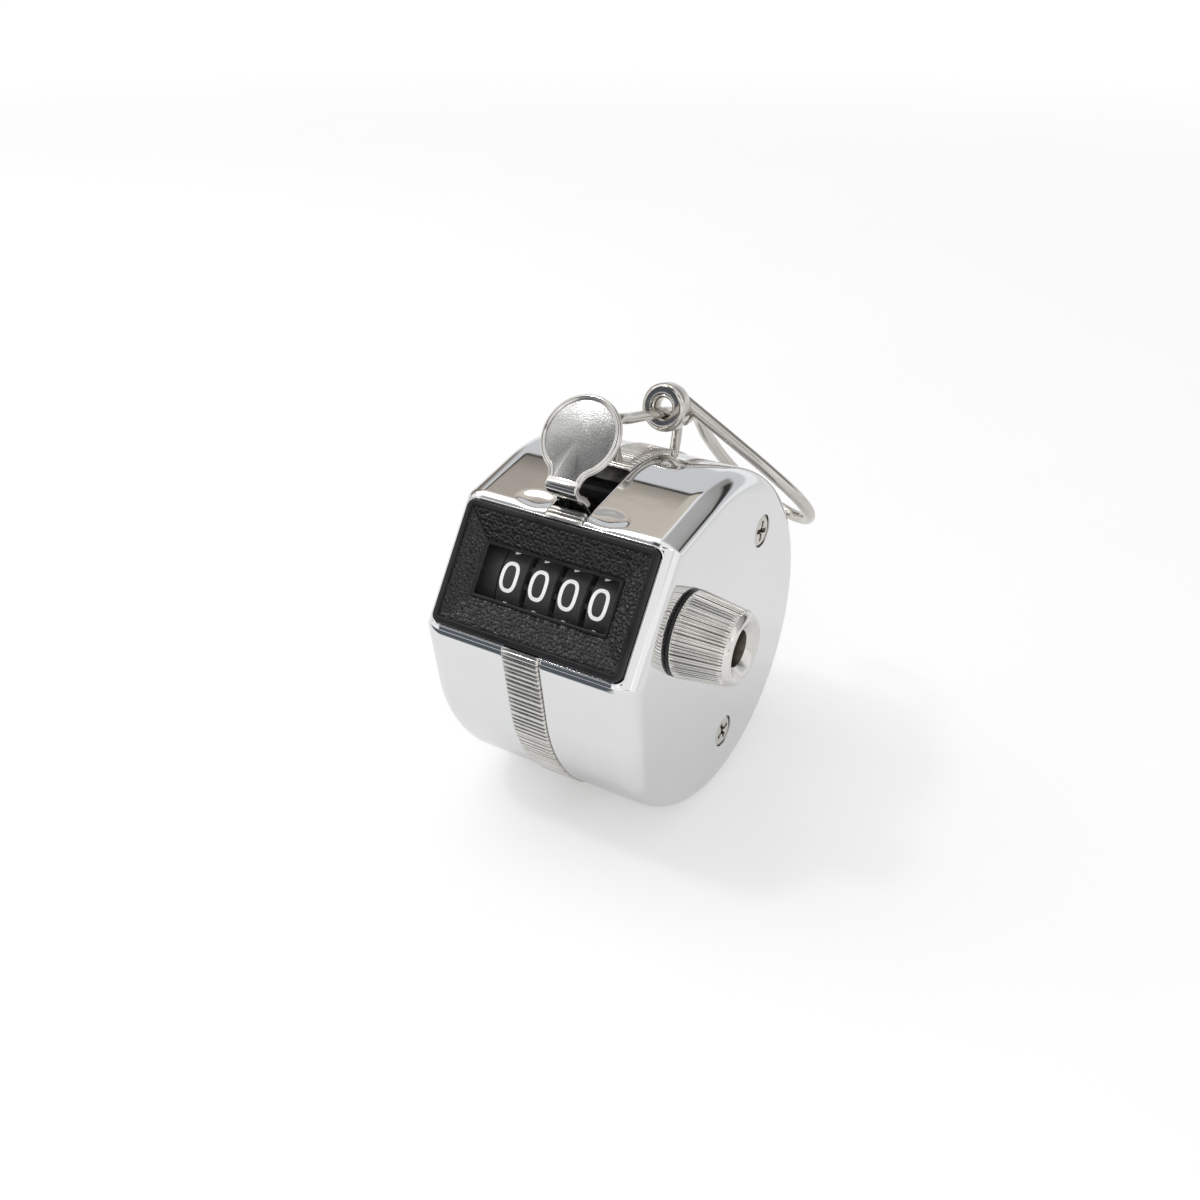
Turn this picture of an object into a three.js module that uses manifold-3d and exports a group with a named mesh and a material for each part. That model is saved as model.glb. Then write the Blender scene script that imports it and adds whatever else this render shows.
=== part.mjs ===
// A hand tally counter: a round pressed-steel case in two halves on a knurled centre frame, a black bezel
// with a four-digit window, number wheels with their carry pinions, a thumb lever that works a pawl and
// ratchet, a knurled reset knob, and a finger ring on a wire hoop.
// Millimetres, +Z up, X along the wheel axle towards the knob, window facing -Y and up.
import * as THREE from "three";
import { mergeVertices } from "three/addons/utils/BufferGeometryUtils.js";
import Module from "manifold-3d";

const wasm = await Module();
wasm.setup();

// Case
const caseRadius = 22.5; // round back of the case
const caseHalfWidth = 15.2;
const faceProud = 0.1;
const faceDistance = caseRadius + faceProud; // case centre to the flat that holds the bezel
const faceHalfHeight = (caseRadius * 98) / 225;
const frontCornerRadius = 1.6;
const sheet = 0.7; // pressed steel of the case halves
const edgeRoundRadial = 2.6; // rounded rim of each half, measured on the side face
const edgeRoundAxial = 3.4; // the same rim, measured along the axle
const windowTilt = THREE.MathUtils.degToRad(35.2); // the window's normal above the horizontal
const seamGap = 0.1;
const fitGap = 0.3;

// Centre frame
const bandHalfWidth = 2.55;
const bandProud = 0.25;
const bandRibPitch = 1.0;
const bandRibDepth = 0.18;
const frameFlangeHalfWidth = 4.6;
const frameDepth = 1.9; // inner face of the frame, below the case's outer surface
const slotLength = 7.4; // from the case face back
const slotRear = faceDistance - slotLength;
const slotFront = faceDistance + 0.4;
const slotLipLength = 2.0;
const slotWellFront = faceDistance - slotLipLength; // the slot opens further down behind here
const slotFloor = 9.5; // the front lip, above the window's middle

// Bezel and window
const bezelWidth = 27.0;
const bezelHeight = 15.9;
const bezelProud = 0.5;
const bezelRim = 0.85;
const bezelSink = 0.75; // how far the window's edge lies below the case face
const bezelBack = 1.8; // back of the bezel, below the case face
const windowWidth = 18.5;
const windowHeight = 6.2;
const lensThickness = 0.6;
const lensLap = 0.6;
const bezelClearance = 0.08;

// Wheels
const axleDepth = 9.6; // wheel axle, below the case face
const axleDistance = faceDistance - axleDepth;
const axleRadius = 1.5;
const runningGap = 0.1;
const wheelRadius = 7.8;
const wheelPitch = 4.24;
const firstWheelX = -5.5;
const rimWidth = 3.5;
const rimThickness = 1.3;
const hubRadius = 2.7;
const webThickness = 1.1;
const gearTeeth = 20;
const gearRootRadius = 6.3;
const gearTipRadius = 7.2;
const gearWidth = 0.45;
const pinionTeeth = 8;
const pinionRootRadius = 2.2;
const pinionTipRadius = 3.1;
const pinionWidth = 0.42;
const pinionShaftRadius = 0.9;
const pinionCentreDistance = 9.55;
const pinionAngle = THREE.MathUtils.degToRad(-40); // place of the pinion shaft round the axle, from behind it
const ratchetTeeth = 10;
const ratchetTipRadius = 6.2;
const ratchetRootRadius = 4.9;
const ratchetWidth = 0.9;
const wheelNames = ["thousands", "hundreds", "tens", "units"];

// Inner plates and posts
const plateX = 11.3; // inner face of each plate
const plateThickness = 0.8;
const plateInset = 1.4;
const plateFrontDepth = 2.3; // the plates' front edges, below the case face
const plateFront = faceDistance - plateFrontDepth;
const shaftOverhang = 1; // how far each shaft stands out past its plate
const postRadius = 2.2;
const postDepth = 7.0; // upper post, below the case's surface
const upperPost = [0.5, caseRadius - postDepth]; // y, z in the window's frame
const lowerPost = [caseRadius * 0.4, -caseRadius * 0.4 - 1.9];
const screwHeadRadius = 2.05;
const screwShankRadius = 0.9;
const screwLength = 4.2;
const screwHeadDepth = 0.95;
const crossWidth = 0.55;
const crossLength = 2.3;
const crossDepth = 0.55;

// Lever
const leverDepth = 4.6; // lever shaft, below the case face
const leverRise = 0.4; // lever shaft, above the top of the wheels
const leverPivot = [-(faceDistance - leverDepth), wheelRadius + leverRise];
const leverShaftRadius = 0.9;
const leverHubRadius = 1.5;
const leverPocketRadius = 1.95; // room for the hub and the return spring
const leverWidth = 4.3;
const leverThickness = 0.9;
const padForward = 7.0; // pad's middle, ahead of the lever shaft
const padRise = 9.8;
const padCentre = [leverPivot[0] - padForward, leverPivot[1] + padRise];
const padRadius = 5.2;
const padTilt = THREE.MathUtils.degToRad(-5.2); // the pad leans this much from the window's plane
const padNeckHalfWidth = 2.25;
const driveArmGap = 0.45; // to the plate
const driveArmThickness = 0.7;
const driveArmX = plateX - driveArmGap - driveArmThickness;
const driveArmReach = 5.2; // lever shaft to pawl pin
const driveArmHubRadius = 1.9;
const driveArmTipRadius = 1.2;
const pawlThickness = 0.7;
const pawlPinRadius = 0.5;
const springWire = 0.45;
const springTurns = 5;
const detentAngle = -1.75; // where the detent spring touches the ratchet, from behind the axle

// Reset knob
const knobGap = 0.3;
const knobLength = 7.4;
const knobBaseRadius = 5.5;
const knobTipRadius = 4.5;
const knobKnurls = 44;
const knobKnurlDepth = 0.22;
const knobChamfer = 0.45;
const knobCupRadius = 3.75;
const knobCupDepth = 1.0;
const knobBoreRadius = 2.2;
const knobBoreDepth = 3.4;
const spacerRadius = 7.5;

// Hoop and finger ring, in the upright frame about the case centre
const hoopX = -0.6;
const hoopWire = 0.7; // radius
const hoopPath = [ // y, and height above the case's top
  [-0.3, -1.6], [-0.9, 0.9], [-1.6, 3.5], [-0.6, 5.0], [2.6, 4.33], [7.0, 3.27], [11.9, 2.08],
  [14.0, 1.1], [15.0, -1.0], [14.5, -3.9], [13.7, -6.1],
].map(([y, rise]) => [y, caseRadius + rise]);
const eyeCentre = [hoopX, 11.9, caseRadius + 2.75];
const eyeAxis = [0, 0.972, -0.236];
const eyeHoleRadius = 1.5;
const eyeOuterRadius = 3.2;
const eyeLength = 2.6;
const eyeRound = 0.55;
const ringWire = 0.85; // radius
const ringOrigin = [2.9, 14.043, caseRadius + 2.114];
const ringAlong = [0.712, 0.3162, -0.627]; // direction of the ring's near side
const ringAcross = [-0.646, 0.6449, -0.4084];
const ringPath = [ // along, across
  [-3.4, 0], [0, 0], [7, 0], [13, 0.2], [18, 1.2], [21.6, 3.8], [23.3, 8], [22.2, 12.2], [18, 14.6],
  [12, 13.6], [5, 8.0], [0.2, 2.2],
];
const ringFoot = [1.55, 12.6, caseRadius + 1.2]; // where the far side meets the eye

// Colours
const finish = (color, roughness, metalness) =>
  new THREE.MeshStandardMaterial({ color, roughness, metalness });
const chrome = finish(0xd8dade, 0.12, 1);
const nickel = finish(0xc9c5bd, 0.3, 1);
const steel = finish(0x9c9c9a, 0.4, 1);
const blackPlastic = finish(0x17181a, 0.55, 0);
const wheelPlastic = finish(0x1c1c1e, 0.5, 0);
const clearPlastic = finish(0xdfe6ea, 0.05, 0);
const brass = finish(0xb8975a, 0.35, 1);

// Solids

function solid(geometry) {
  const bare = geometry.clone();
  for (const name of Object.keys(bare.attributes)) if (name !== "position") bare.deleteAttribute(name);
  const merged = mergeVertices(bare, 1e-4);
  return new wasm.Manifold(
    new wasm.Mesh({
      numProp: 3,
      vertProperties: new Float32Array(merged.attributes.position.array),
      triVerts: new Uint32Array(merged.index.array),
    }),
  );
}

function geometryOf(body) {
  const mesh = body.getMesh();
  const geometry = new THREE.BufferGeometry();
  geometry.setAttribute("position", new THREE.BufferAttribute(mesh.vertProperties, 3));
  geometry.setIndex(new THREE.BufferAttribute(mesh.triVerts, 1));
  return geometry;
}

// Rings of points, all with the same count, joined to one another and capped by fans about their middles.
function loft(rings) {
  const count = rings[0].length;
  const position = rings.flat(2);
  const index = [];
  for (let r = 0; r + 1 < rings.length; r++)
    for (let k = 0; k < count; k++) {
      const a = r * count + k;
      const b = r * count + ((k + 1) % count);
      index.push(a, b, b + count, a, b + count, a + count);
    }
  const cap = (ring, first, flip) => {
    const middle = position.length / 3;
    const centre = [0, 1, 2].map((c) => ring.reduce((sum, p) => sum + p[c], 0) / count);
    position.push(...centre);
    for (let k = 0; k < count; k++) {
      const a = first + k;
      const b = first + ((k + 1) % count);
      index.push(middle, flip ? b : a, flip ? a : b);
    }
  };
  cap(rings[0], 0, true);
  cap(rings[rings.length - 1], (rings.length - 1) * count, false);
  const geometry = new THREE.BufferGeometry();
  geometry.setAttribute("position", new THREE.Float32BufferAttribute(position, 3));
  geometry.setIndex(index);
  return facingOut(geometry);
}

// Rings of points joined in a closed chain, so that the last ring meets the first.
function loopLoft(rings) {
  const count = rings[0].length;
  const index = [];
  for (let r = 0; r < rings.length; r++)
    for (let k = 0; k < count; k++) {
      const next = ((r + 1) % rings.length) * count;
      const a = r * count + k;
      const b = r * count + ((k + 1) % count);
      const c = next + ((k + 1) % count);
      index.push(a, b, c, a, c, next + k);
    }
  const geometry = new THREE.BufferGeometry();
  geometry.setAttribute("position", new THREE.Float32BufferAttribute(rings.flat(2), 3));
  geometry.setIndex(index);
  return facingOut(geometry);
}

// Turns every face round where the signed volume says that they point inwards.
function facingOut(geometry) {
  const p = geometry.attributes.position;
  const index = geometry.index;
  const [a, b, c] = [new THREE.Vector3(), new THREE.Vector3(), new THREE.Vector3()];
  let volume = 0;
  for (let i = 0; i < index.count; i += 3) {
    a.fromBufferAttribute(p, index.getX(i));
    b.fromBufferAttribute(p, index.getX(i + 1));
    c.fromBufferAttribute(p, index.getX(i + 2));
    volume += a.dot(b.cross(c));
  }
  if (volume < 0)
    for (let i = 0; i < index.count; i += 3) {
      const first = index.getX(i);
      index.setX(i, index.getX(i + 1));
      index.setX(i + 1, first);
    }
  return geometry;
}

const box = (x, y, z, sx, sy, sz) => solid(new THREE.BoxGeometry(sx, sy, sz).translate(x, y, z));

// A cylinder or cone along X from x0 to x1, round the point (y, z).
function rod(x0, x1, y, z, r0, r1 = r0, sides = 20) {
  const shape = new THREE.CylinderGeometry(r1, r0, x1 - x0, sides);
  shape.rotateZ(-Math.PI / 2);
  return solid(shape.translate((x0 + x1) / 2, y, z));
}

// A profile of [x, radius] pairs turned round the X axis; it closes on itself.
function turned(profile, segments) {
  const points = [...profile, profile[0]].map(([x, r]) => new THREE.Vector2(r, x));
  const shape = new THREE.LatheGeometry(points, segments);
  shape.rotateZ(-Math.PI / 2);
  const merged = mergeVertices(withoutExtras(shape), 1e-4);
  return solid(facingOut(merged));
}

function withoutExtras(geometry) {
  geometry.deleteAttribute("normal");
  geometry.deleteAttribute("uv");
  return geometry;
}

// A flat outline of [y, z] points, made thick along X from x0 to x1.
function plate(outline, x0, x1) {
  const shape = new THREE.Shape(outline.map(([y, z]) => new THREE.Vector2(y, z)));
  const body = new THREE.ExtrudeGeometry(shape, { depth: x1 - x0, bevelEnabled: false });
  // The shape's axes x, y and the depth become y, z and x.
  body.applyMatrix4(new THREE.Matrix4().set(0, 0, 1, x0, 1, 0, 0, 0, 0, 1, 0, 0, 0, 0, 0, 1));
  return solid(body);
}

// A gear outline with straight-sided teeth; tipShare and rootShare are parts of a tooth's pitch.
function gearOutline(teeth, root, tip, turn, tipShare = 0.26, rootShare = 0.4) {
  const points = [];
  for (let k = 0; k < teeth; k++)
    for (const [share, radius] of [
      [-rootShare / 2, root],
      [-tipShare / 2, tip],
      [tipShare / 2, tip],
      [rootShare / 2, root],
    ]) {
      const angle = turn + ((k + share) * 2 * Math.PI) / teeth;
      points.push([radius * Math.cos(angle), radius * Math.sin(angle)]);
    }
  return points;
}

// A round wire along a curve, with closed ends unless the curve is closed.
function wire(curve, radius, steps, sides = 8) {
  const section = new THREE.Shape();
  for (let k = 0; k < sides; k++) {
    const angle = (k * 2 * Math.PI) / sides;
    section[k ? "lineTo" : "moveTo"](radius * Math.cos(angle), radius * Math.sin(angle));
  }
  section.closePath();
  return solid(new THREE.ExtrudeGeometry(section, { steps, extrudePath: curve }));
}

// The case's section: flat front, two small corners, tangent lines and a round back.
// Each sample is [y, z, ny, nz], a point and its outward normal, from the middle of the front downwards.
const cornerCentre = [-(faceDistance - frontCornerRadius), faceHalfHeight - frontCornerRadius];
const cornerReach = Math.hypot(...cornerCentre);
const tangentTurn =
  Math.atan2(cornerCentre[1], cornerCentre[0]) - Math.acos((caseRadius - frontCornerRadius) / cornerReach);

const cornerFloor = 0.25; // the smallest radius that an inset leaves at the front corners

// The section drawn in by inset: every part moves by the same distance, so its normals stay as they are.
function sectionPieces(inset = 0) {
  const radius = Math.max(frontCornerRadius - inset, cornerFloor);
  const spare = (radius - frontCornerRadius + inset) / (1 - Math.cos(tangentTurn));
  const cy = cornerCentre[0] + spare * (1 - Math.cos(tangentTurn));
  const cz = cornerCentre[1] - spare * Math.sin(tangentTurn);
  const arc = (y, z, r, from, to) => ({
    length: r * (to - from),
    at: (t) => {
      const angle = from + t * (to - from);
      return [y + r * Math.cos(angle), z + r * Math.sin(angle), Math.cos(angle), Math.sin(angle)];
    },
  });
  const line = (y0, z0, y1, z1, ny, nz) => ({
    length: Math.hypot(y1 - y0, z1 - z0),
    at: (t) => [y0 + t * (y1 - y0), z0 + t * (z1 - z0), ny, nz],
  });
  const lower = arc(cy, -cz, radius, Math.PI, 2 * Math.PI - tangentTurn);
  const back = arc(0, 0, caseRadius - inset, -tangentTurn, tangentTurn);
  const upper = arc(cy, cz, radius, tangentTurn, Math.PI);
  const joinTo = (p, q) => line(p[0], p[1], q[0], q[1], p[2], p[3]);
  const front = -(faceDistance - inset);
  return [
    line(front, 0, front, -cz, -1, 0),
    lower,
    joinTo(lower.at(1), back.at(0)),
    back,
    joinTo(back.at(1), upper.at(0)),
    upper,
    line(front, cz, front, 0, -1, 0),
  ];
}

const pieces = sectionPieces();
const sectionLength = pieces.reduce((sum, piece) => sum + piece.length, 0);

function sectionAt(distance) {
  let left = Math.min(Math.max(distance, 0), sectionLength);
  for (const piece of pieces) {
    if (left <= piece.length) return piece.at(left / piece.length);
    left -= piece.length;
  }
  return pieces[pieces.length - 1].at(1);
}

// One closed ring of the section at x, drawn in by inset.
const ringSteps = [1, 4, 1, 34, 1, 4, 1];
const sectionPoints = (inset) =>
  sectionPieces(inset).flatMap((piece, k) =>
    Array.from({ length: ringSteps[k] }, (_, j) => piece.at(j / ringSteps[k])),
  );
const sectionRing = (x, inset) => sectionPoints(inset).map(([y, z]) => [x, y, z]);

// Case halves

function coverForm(side, inset, xStart) {
  const rings = [sectionRing(side * xStart, inset)];
  const roundSteps = 5;
  for (let k = 0; k <= roundSteps; k++) {
    const angle = (k / roundSteps) * (Math.PI / 2);
    const x = caseHalfWidth - edgeRoundAxial + (edgeRoundAxial - inset) * Math.sin(angle);
    const drawnIn = inset + Math.max(edgeRoundRadial - inset * 0.5, 0.2) * (1 - Math.cos(angle));
    rings.push(sectionRing(side * x, drawnIn));
  }
  return solid(loft(rings));
}

const screwPlaces = { upper: upperPost, lower: lowerPost };

function cover(side) {
  const start = bandHalfWidth + seamGap;
  let body = coverForm(side, 0, start).subtract(coverForm(side, sheet, start - 1));
  const opening = box(0, -faceDistance, 0, bezelWidth, 6, bezelHeight);
  body = body.subtract(opening);
  for (const [y, z] of Object.values(screwPlaces)) body = body.subtract(screwSeat(side, y, z, fitGap / 2));
  if (side > 0) {
    const hole = axleRadius + fitGap;
    body = body.subtract(rod(caseHalfWidth - 2, caseHalfWidth + 1, -axleDistance, 0, hole));
  }
  return body;
}

// Centre frame: knurled band and its two flanges, open at the front for the bezel.

const bandStart = bezelHeight / 2 + seamGap;
const cornerStart = pieces[0].length;

function frameStrip(halfWidth, insetOuter, insetInner, stations) {
  const rings = stations.map((distance) => {
    const [y, z, ny, nz] = sectionAt(distance);
    const outer = insetOuter(distance);
    return [
      [-halfWidth, y - outer * ny, z - outer * nz],
      [halfWidth, y - outer * ny, z - outer * nz],
      [halfWidth, y - insetInner * ny, z - insetInner * nz],
      [-halfWidth, y - insetInner * ny, z - insetInner * nz],
    ];
  });
  return solid(loft(rings));
}

function stationList(from, to, pitch) {
  const count = Math.round((to - from) / pitch);
  return Array.from({ length: count + 1 }, (_, k) => from + (k * (to - from)) / count);
}

function centreFrame() {
  const ribs = stationList(bandStart, sectionLength - bandStart, bandRibPitch / 2);
  const ribAt = new Map(ribs.map((s, k) => [s, k % 2 ? bandRibDepth : 0]));
  const band = frameStrip(bandHalfWidth, (s) => -bandProud + ribAt.get(s), frameDepth - 0.5, ribs);
  const plain = stationList(cornerStart, sectionLength - cornerStart, 3);
  const flange = frameStrip(frameFlangeHalfWidth, () => sheet + seamGap, frameDepth, plain);
  const slotWidth = bandHalfWidth * 2 + 0.02;
  const slot = box(0, -(slotFront + slotRear) / 2, slotFloor + 8, slotWidth, slotFront - slotRear, 16);
  const wellMiddle = -(slotWellFront + slotRear) / 2;
  const well = box(0, wellMiddle, slotFloor + 7, slotWidth, slotWellFront - slotRear, 20);
  const pocket = rod(-5.5, 5.5, ...leverPivot, leverPocketRadius, leverPocketRadius, 24);
  const upright = [THREE.MathUtils.radToDeg(windowTilt), 0, 0];
  const holes = hoopHoles(hoopWire + fitGap / 2).rotate(upright);
  const standFlat = box(0, 0, -caseRadius - 2, bandHalfWidth * 2 + 2, 12, 4).rotate(upright);
  let body = band.add(flange).subtract(slot).subtract(well).subtract(pocket).subtract(holes);
  body = body.subtract(standFlat);
  for (const [y, z] of Object.values(screwPlaces))
    body = body.subtract(rod(-6, 6, y, z, postRadius + fitGap));
  return body;
}

// Bezel: a rectangular frame whose faces slope in to the window.

function rectangleRing(width, height, y) {
  const [w, h] = [width / 2, height / 2];
  return [
    [-w, y, -h],
    [w, y, -h],
    [w, y, h],
    [-w, y, h],
  ];
}

function bezel() {
  const front = -(faceDistance + bezelProud);
  const sunk = -(faceDistance - bezelSink);
  const back = -(faceDistance - bezelBack);
  const seat = sunk + 0.15;
  const outerW = bezelWidth - 2 * bezelClearance;
  const outerH = bezelHeight - 2 * bezelClearance;
  return solid(
    loopLoft([
      rectangleRing(outerW, outerH, front + 0.25),
      rectangleRing(outerW - 0.5, outerH - 0.5, front),
      rectangleRing(outerW - 2 * bezelRim, outerH - 2 * bezelRim, front),
      rectangleRing(windowWidth, windowHeight, sunk),
      rectangleRing(windowWidth, windowHeight, seat),
      rectangleRing(windowWidth + 2 * lensLap, windowHeight + 2 * lensLap, seat),
      rectangleRing(windowWidth + 2 * lensLap, windowHeight + 2 * lensLap, back),
      rectangleRing(outerW, outerH, back),
    ]),
  );
}

function windowLens() {
  const seat = -(faceDistance - bezelSink) + 0.15;
  const play = 0.1;
  return box(
    0, seat + play + lensThickness / 2, 0,
    windowWidth + 2 * (lensLap - play), lensThickness, windowHeight + 2 * (lensLap - play),
  );
}

// Number wheels, pinions and ratchet, each modelled round its own axis.

function numberWheel(geared) {
  const [left, right] = [-rimWidth / 2, rimWidth / 2];
  const web = webThickness / 2;
  const inner = wheelRadius - rimThickness;
  const bore = axleRadius + runningGap;
  const drum = turned(
    [
      [left, bore], [left, hubRadius], [-web, hubRadius], [-web, inner], [left, inner], [left, wheelRadius],
      [right, wheelRadius], [right, inner], [web, inner], [web, hubRadius], [right, hubRadius], [right, bore],
    ],
    40,
  );
  if (!geared) return drum;
  const facing = Math.PI + pinionDirection;
  const flank = plate(
    gearOutline(gearTeeth, gearRootRadius, gearTipRadius, facing + Math.PI + Math.PI / gearTeeth),
    right - 0.05, right + gearWidth,
  );
  return drum.add(flank.subtract(rod(right - 1, right + gearWidth + 1, 0, 0, hubRadius + 0.6)));
}

const pinionDirection = pinionAngle;
const pinionPlace = [
  -axleDistance + pinionCentreDistance * Math.cos(pinionAngle),
  pinionCentreDistance * Math.sin(pinionAngle),
];

function carryPinion() {
  const outline = gearOutline(pinionTeeth, pinionRootRadius, pinionTipRadius, pinionDirection + Math.PI);
  const body = plate(outline, -pinionWidth / 2, pinionWidth / 2);
  return body.subtract(rod(-1, 1, 0, 0, pinionShaftRadius + runningGap));
}

function ratchetWheel() {
  const points = [];
  for (let k = 0; k < ratchetTeeth; k++) {
    const start = (k * 2 * Math.PI) / ratchetTeeth;
    const lean = (2 * Math.PI) / ratchetTeeth;
    const middle = (ratchetRootRadius + ratchetTipRadius) / 2;
    for (const [share, radius] of [[0, ratchetTipRadius], [0.08, ratchetRootRadius], [0.55, middle]])
      points.push([radius * Math.cos(start + share * lean), radius * Math.sin(start + share * lean)]);
  }
  const body = plate(points, -ratchetWidth / 2, ratchetWidth / 2);
  return body.subtract(rod(-1, 1, 0, 0, axleRadius + runningGap));
}

// Inner plates with the holes of everything that they carry.

const shaftHoles = () => [
  [-axleDistance, 0, axleRadius + runningGap],
  [...pinionPlace, pinionShaftRadius + runningGap],
  [...leverPivot, leverShaftRadius + runningGap],
  [...upperPost, postRadius + runningGap],
  [...lowerPost, postRadius + runningGap],
];

function innerPlate(side) {
  const x0 = side > 0 ? plateX : -plateX - plateThickness;
  const form = solid(loft([sectionRing(x0, plateInset), sectionRing(x0 + plateThickness, plateInset)]));
  let body = form.subtract(box(0, -plateFront - 5, 0, 40, 10, 60));
  for (const [y, z, radius] of shaftHoles()) body = body.subtract(rod(x0 - 1, x0 + 2, y, z, radius));
  return body;
}

// Posts and screws

const postReach = caseHalfWidth - sheet - seamGap;

function post([y, z]) {
  let body = rod(-postReach, postReach, y, z, postRadius, postRadius, 24);
  for (const side of [-1, 1]) {
    const inner = side * (caseHalfWidth - screwLength - 1);
    const outer = side * (postReach + 1);
    body = body.subtract(rod(Math.min(inner, outer), Math.max(inner, outer), y, z, screwShankRadius + 0.1));
    body = body.subtract(screwSeat(side, y, z, fitGap / 2));
  }
  return body;
}

// The countersunk seat of a screw, grown by clear all round.
function screwSeat(side, y, z, clear) {
  const face = caseHalfWidth;
  const head = side > 0
    ? rod(face - screwHeadDepth, face + 0.02, y, z, screwShankRadius + clear, screwHeadRadius + clear, 24)
    : rod(-face - 0.02, -face + screwHeadDepth, y, z, screwHeadRadius + clear, screwShankRadius + clear, 24);
  const shank = side > 0
    ? rod(face - screwHeadDepth - 1.5, face - screwHeadDepth / 2, y, z, screwShankRadius + clear)
    : rod(-face + screwHeadDepth / 2, -face + screwHeadDepth + 1.5, y, z, screwShankRadius + clear);
  return head.add(shank);
}

function caseScrew(side, [y, z]) {
  const face = side * (caseHalfWidth - 0.05);
  const under = side * (caseHalfWidth - screwHeadDepth);
  const tip = side * (caseHalfWidth - screwLength);
  const head = side > 0
    ? rod(under, face, y, z, screwShankRadius, screwHeadRadius, 24)
    : rod(face, under, y, z, screwHeadRadius, screwShankRadius, 24);
  const shank = rod(Math.min(tip, under), Math.max(tip, under), y, z, screwShankRadius);
  let body = head.add(shank);
  for (const [sy, sz] of [[crossLength, crossWidth], [crossWidth, crossLength]])
    body = body.subtract(box(face, y, z, crossDepth * 2, sy, sz));
  return body;
}

// Lever: round pad, curled neck, arm through the slot and a hub on the shaft.

function thumbLever() {
  const upright = new THREE.Vector2(Math.sin(-padTilt), Math.cos(padTilt));
  const outward = new THREE.Vector2(-upright.y, upright.x);
  const padPoint = (across, up) => [across, padCentre[0] + up * upright.x, padCentre[1] + up * upright.y];
  const neckDrop = padRadius + 0.7;
  const neckAngle = Math.asin(padNeckHalfWidth / padRadius);
  const outline = [];
  const padSteps = 32;
  for (let k = 0; k <= padSteps; k++) {
    const angle = -Math.PI / 2 + neckAngle + (k / padSteps) * 2 * (Math.PI - neckAngle);
    outline.push(padPoint(padRadius * Math.cos(angle), padRadius * Math.sin(angle)));
  }
  outline.push(padPoint(-padNeckHalfWidth, -neckDrop), padPoint(padNeckHalfWidth, -neckDrop));
  const layer = (depth) =>
    outline.map(([x, y, z]) => [x, y - depth * outward.x, z - depth * outward.y]);
  const pad = solid(loft([layer(0), layer(leverThickness)]));
  const arm = armOutline(upright, outward, neckDrop);
  const half = leverWidth / 2;
  const body = pad.add(plate(arm, -half, half));
  const hub = rod(-half, half, ...leverPivot, leverHubRadius);
  return body.add(hub).subtract(rod(-half - 1, half + 1, ...leverPivot, leverShaftRadius + 0.05));
}

// The arm's side view, from the pad's foot round the curl and back to the hub.
function armOutline(upright, outward, neckDrop) {
  const foot = [
    padCentre[0] - (neckDrop - 0.4) * upright.x,
    padCentre[1] - (neckDrop - 0.4) * upright.y,
  ];
  const spine = new THREE.CatmullRomCurve3(
    [
      [foot[0] - (leverThickness / 2) * outward.x, foot[1] - (leverThickness / 2) * outward.y],
      [foot[0] + 0.25, foot[1] - 0.85],
      [foot[0] + 1.2, foot[1] - 1.45],
      [foot[0] + 3.0, foot[1] - 1.5],
      [leverPivot[0] - 1.2, leverPivot[1] + 1.6],
      [leverPivot[0], leverPivot[1] + 0.8],
    ].map(([y, z]) => new THREE.Vector3(0, y, z)),
  );
  const steps = 18;
  const edge = (offset) =>
    Array.from({ length: steps + 1 }, (_, k) => {
      const p = spine.getPoint(k / steps);
      const t = spine.getTangent(k / steps);
      return [p.y - offset * t.z, p.z + offset * t.y];
    });
  return [...edge(leverThickness / 2), ...edge(-leverThickness / 2).reverse()];
}

const shaftReach = plateX + plateThickness + shaftOverhang;

function driveArm() {
  const outline = capsule(leverPivot, pawlPivot, driveArmHubRadius, driveArmTipRadius);
  const x0 = driveArmX;
  return plate(outline, x0, x0 + driveArmThickness)
    .subtract(rod(x0 - 1, x0 + 2, ...leverPivot, leverShaftRadius + 0.05))
    .subtract(rod(x0 - 1, x0 + 2, ...pawlPivot, pawlPinRadius + 0.05));
}

// A rounded link outline from a to b with end radii ra and rb.
function capsule(a, b, ra, rb, steps = 8) {
  const turn = Math.atan2(b[1] - a[1], b[0] - a[0]);
  const points = [];
  for (const [centre, radius, from] of [[b, rb, turn - Math.PI / 2], [a, ra, turn + Math.PI / 2]])
    for (let k = 0; k <= steps; k++) {
      const angle = from + (k / steps) * Math.PI;
      points.push([centre[0] + radius * Math.cos(angle), centre[1] + radius * Math.sin(angle)]);
    }
  return points;
}

const pawlTurn = Math.atan2(-leverPivot[1], -axleDistance - leverPivot[0]) + 1.25;
const pawlPivot = [
  leverPivot[0] + driveArmReach * Math.cos(pawlTurn),
  leverPivot[1] + driveArmReach * Math.sin(pawlTurn),
];

// A plain dark disc that fills the window's left margin.
function spacer() {
  const [left, right] = [-plateX + fitGap, firstWheelX - rimWidth / 2 - fitGap];
  const web = 0.6;
  const bore = axleRadius + runningGap;
  const inner = spacerRadius - 1.2;
  return turned(
    [
      [left, bore], [left, hubRadius], [right - web, hubRadius], [right - web, inner], [left, inner],
      [left, spacerRadius], [right, spacerRadius], [right, bore],
    ],
    40,
  ).translate([0, -axleDistance, 0]);
}

function drivePawl() {
  const [y, z] = pawlPivot;
  const away = Math.atan2(z, y + axleDistance);
  const nose = ratchetTipRadius + 1.0;
  const tip = [-axleDistance + nose * Math.cos(away + 0.32), nose * Math.sin(away + 0.32)];
  const x1 = driveArmX - 0.1;
  return plate(capsule([y, z], tip, 1.0, 0.35), x1 - pawlThickness, x1)
    .subtract(rod(x1 - 2, x1 + 1, y, z, pawlPinRadius + 0.05));
}

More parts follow.
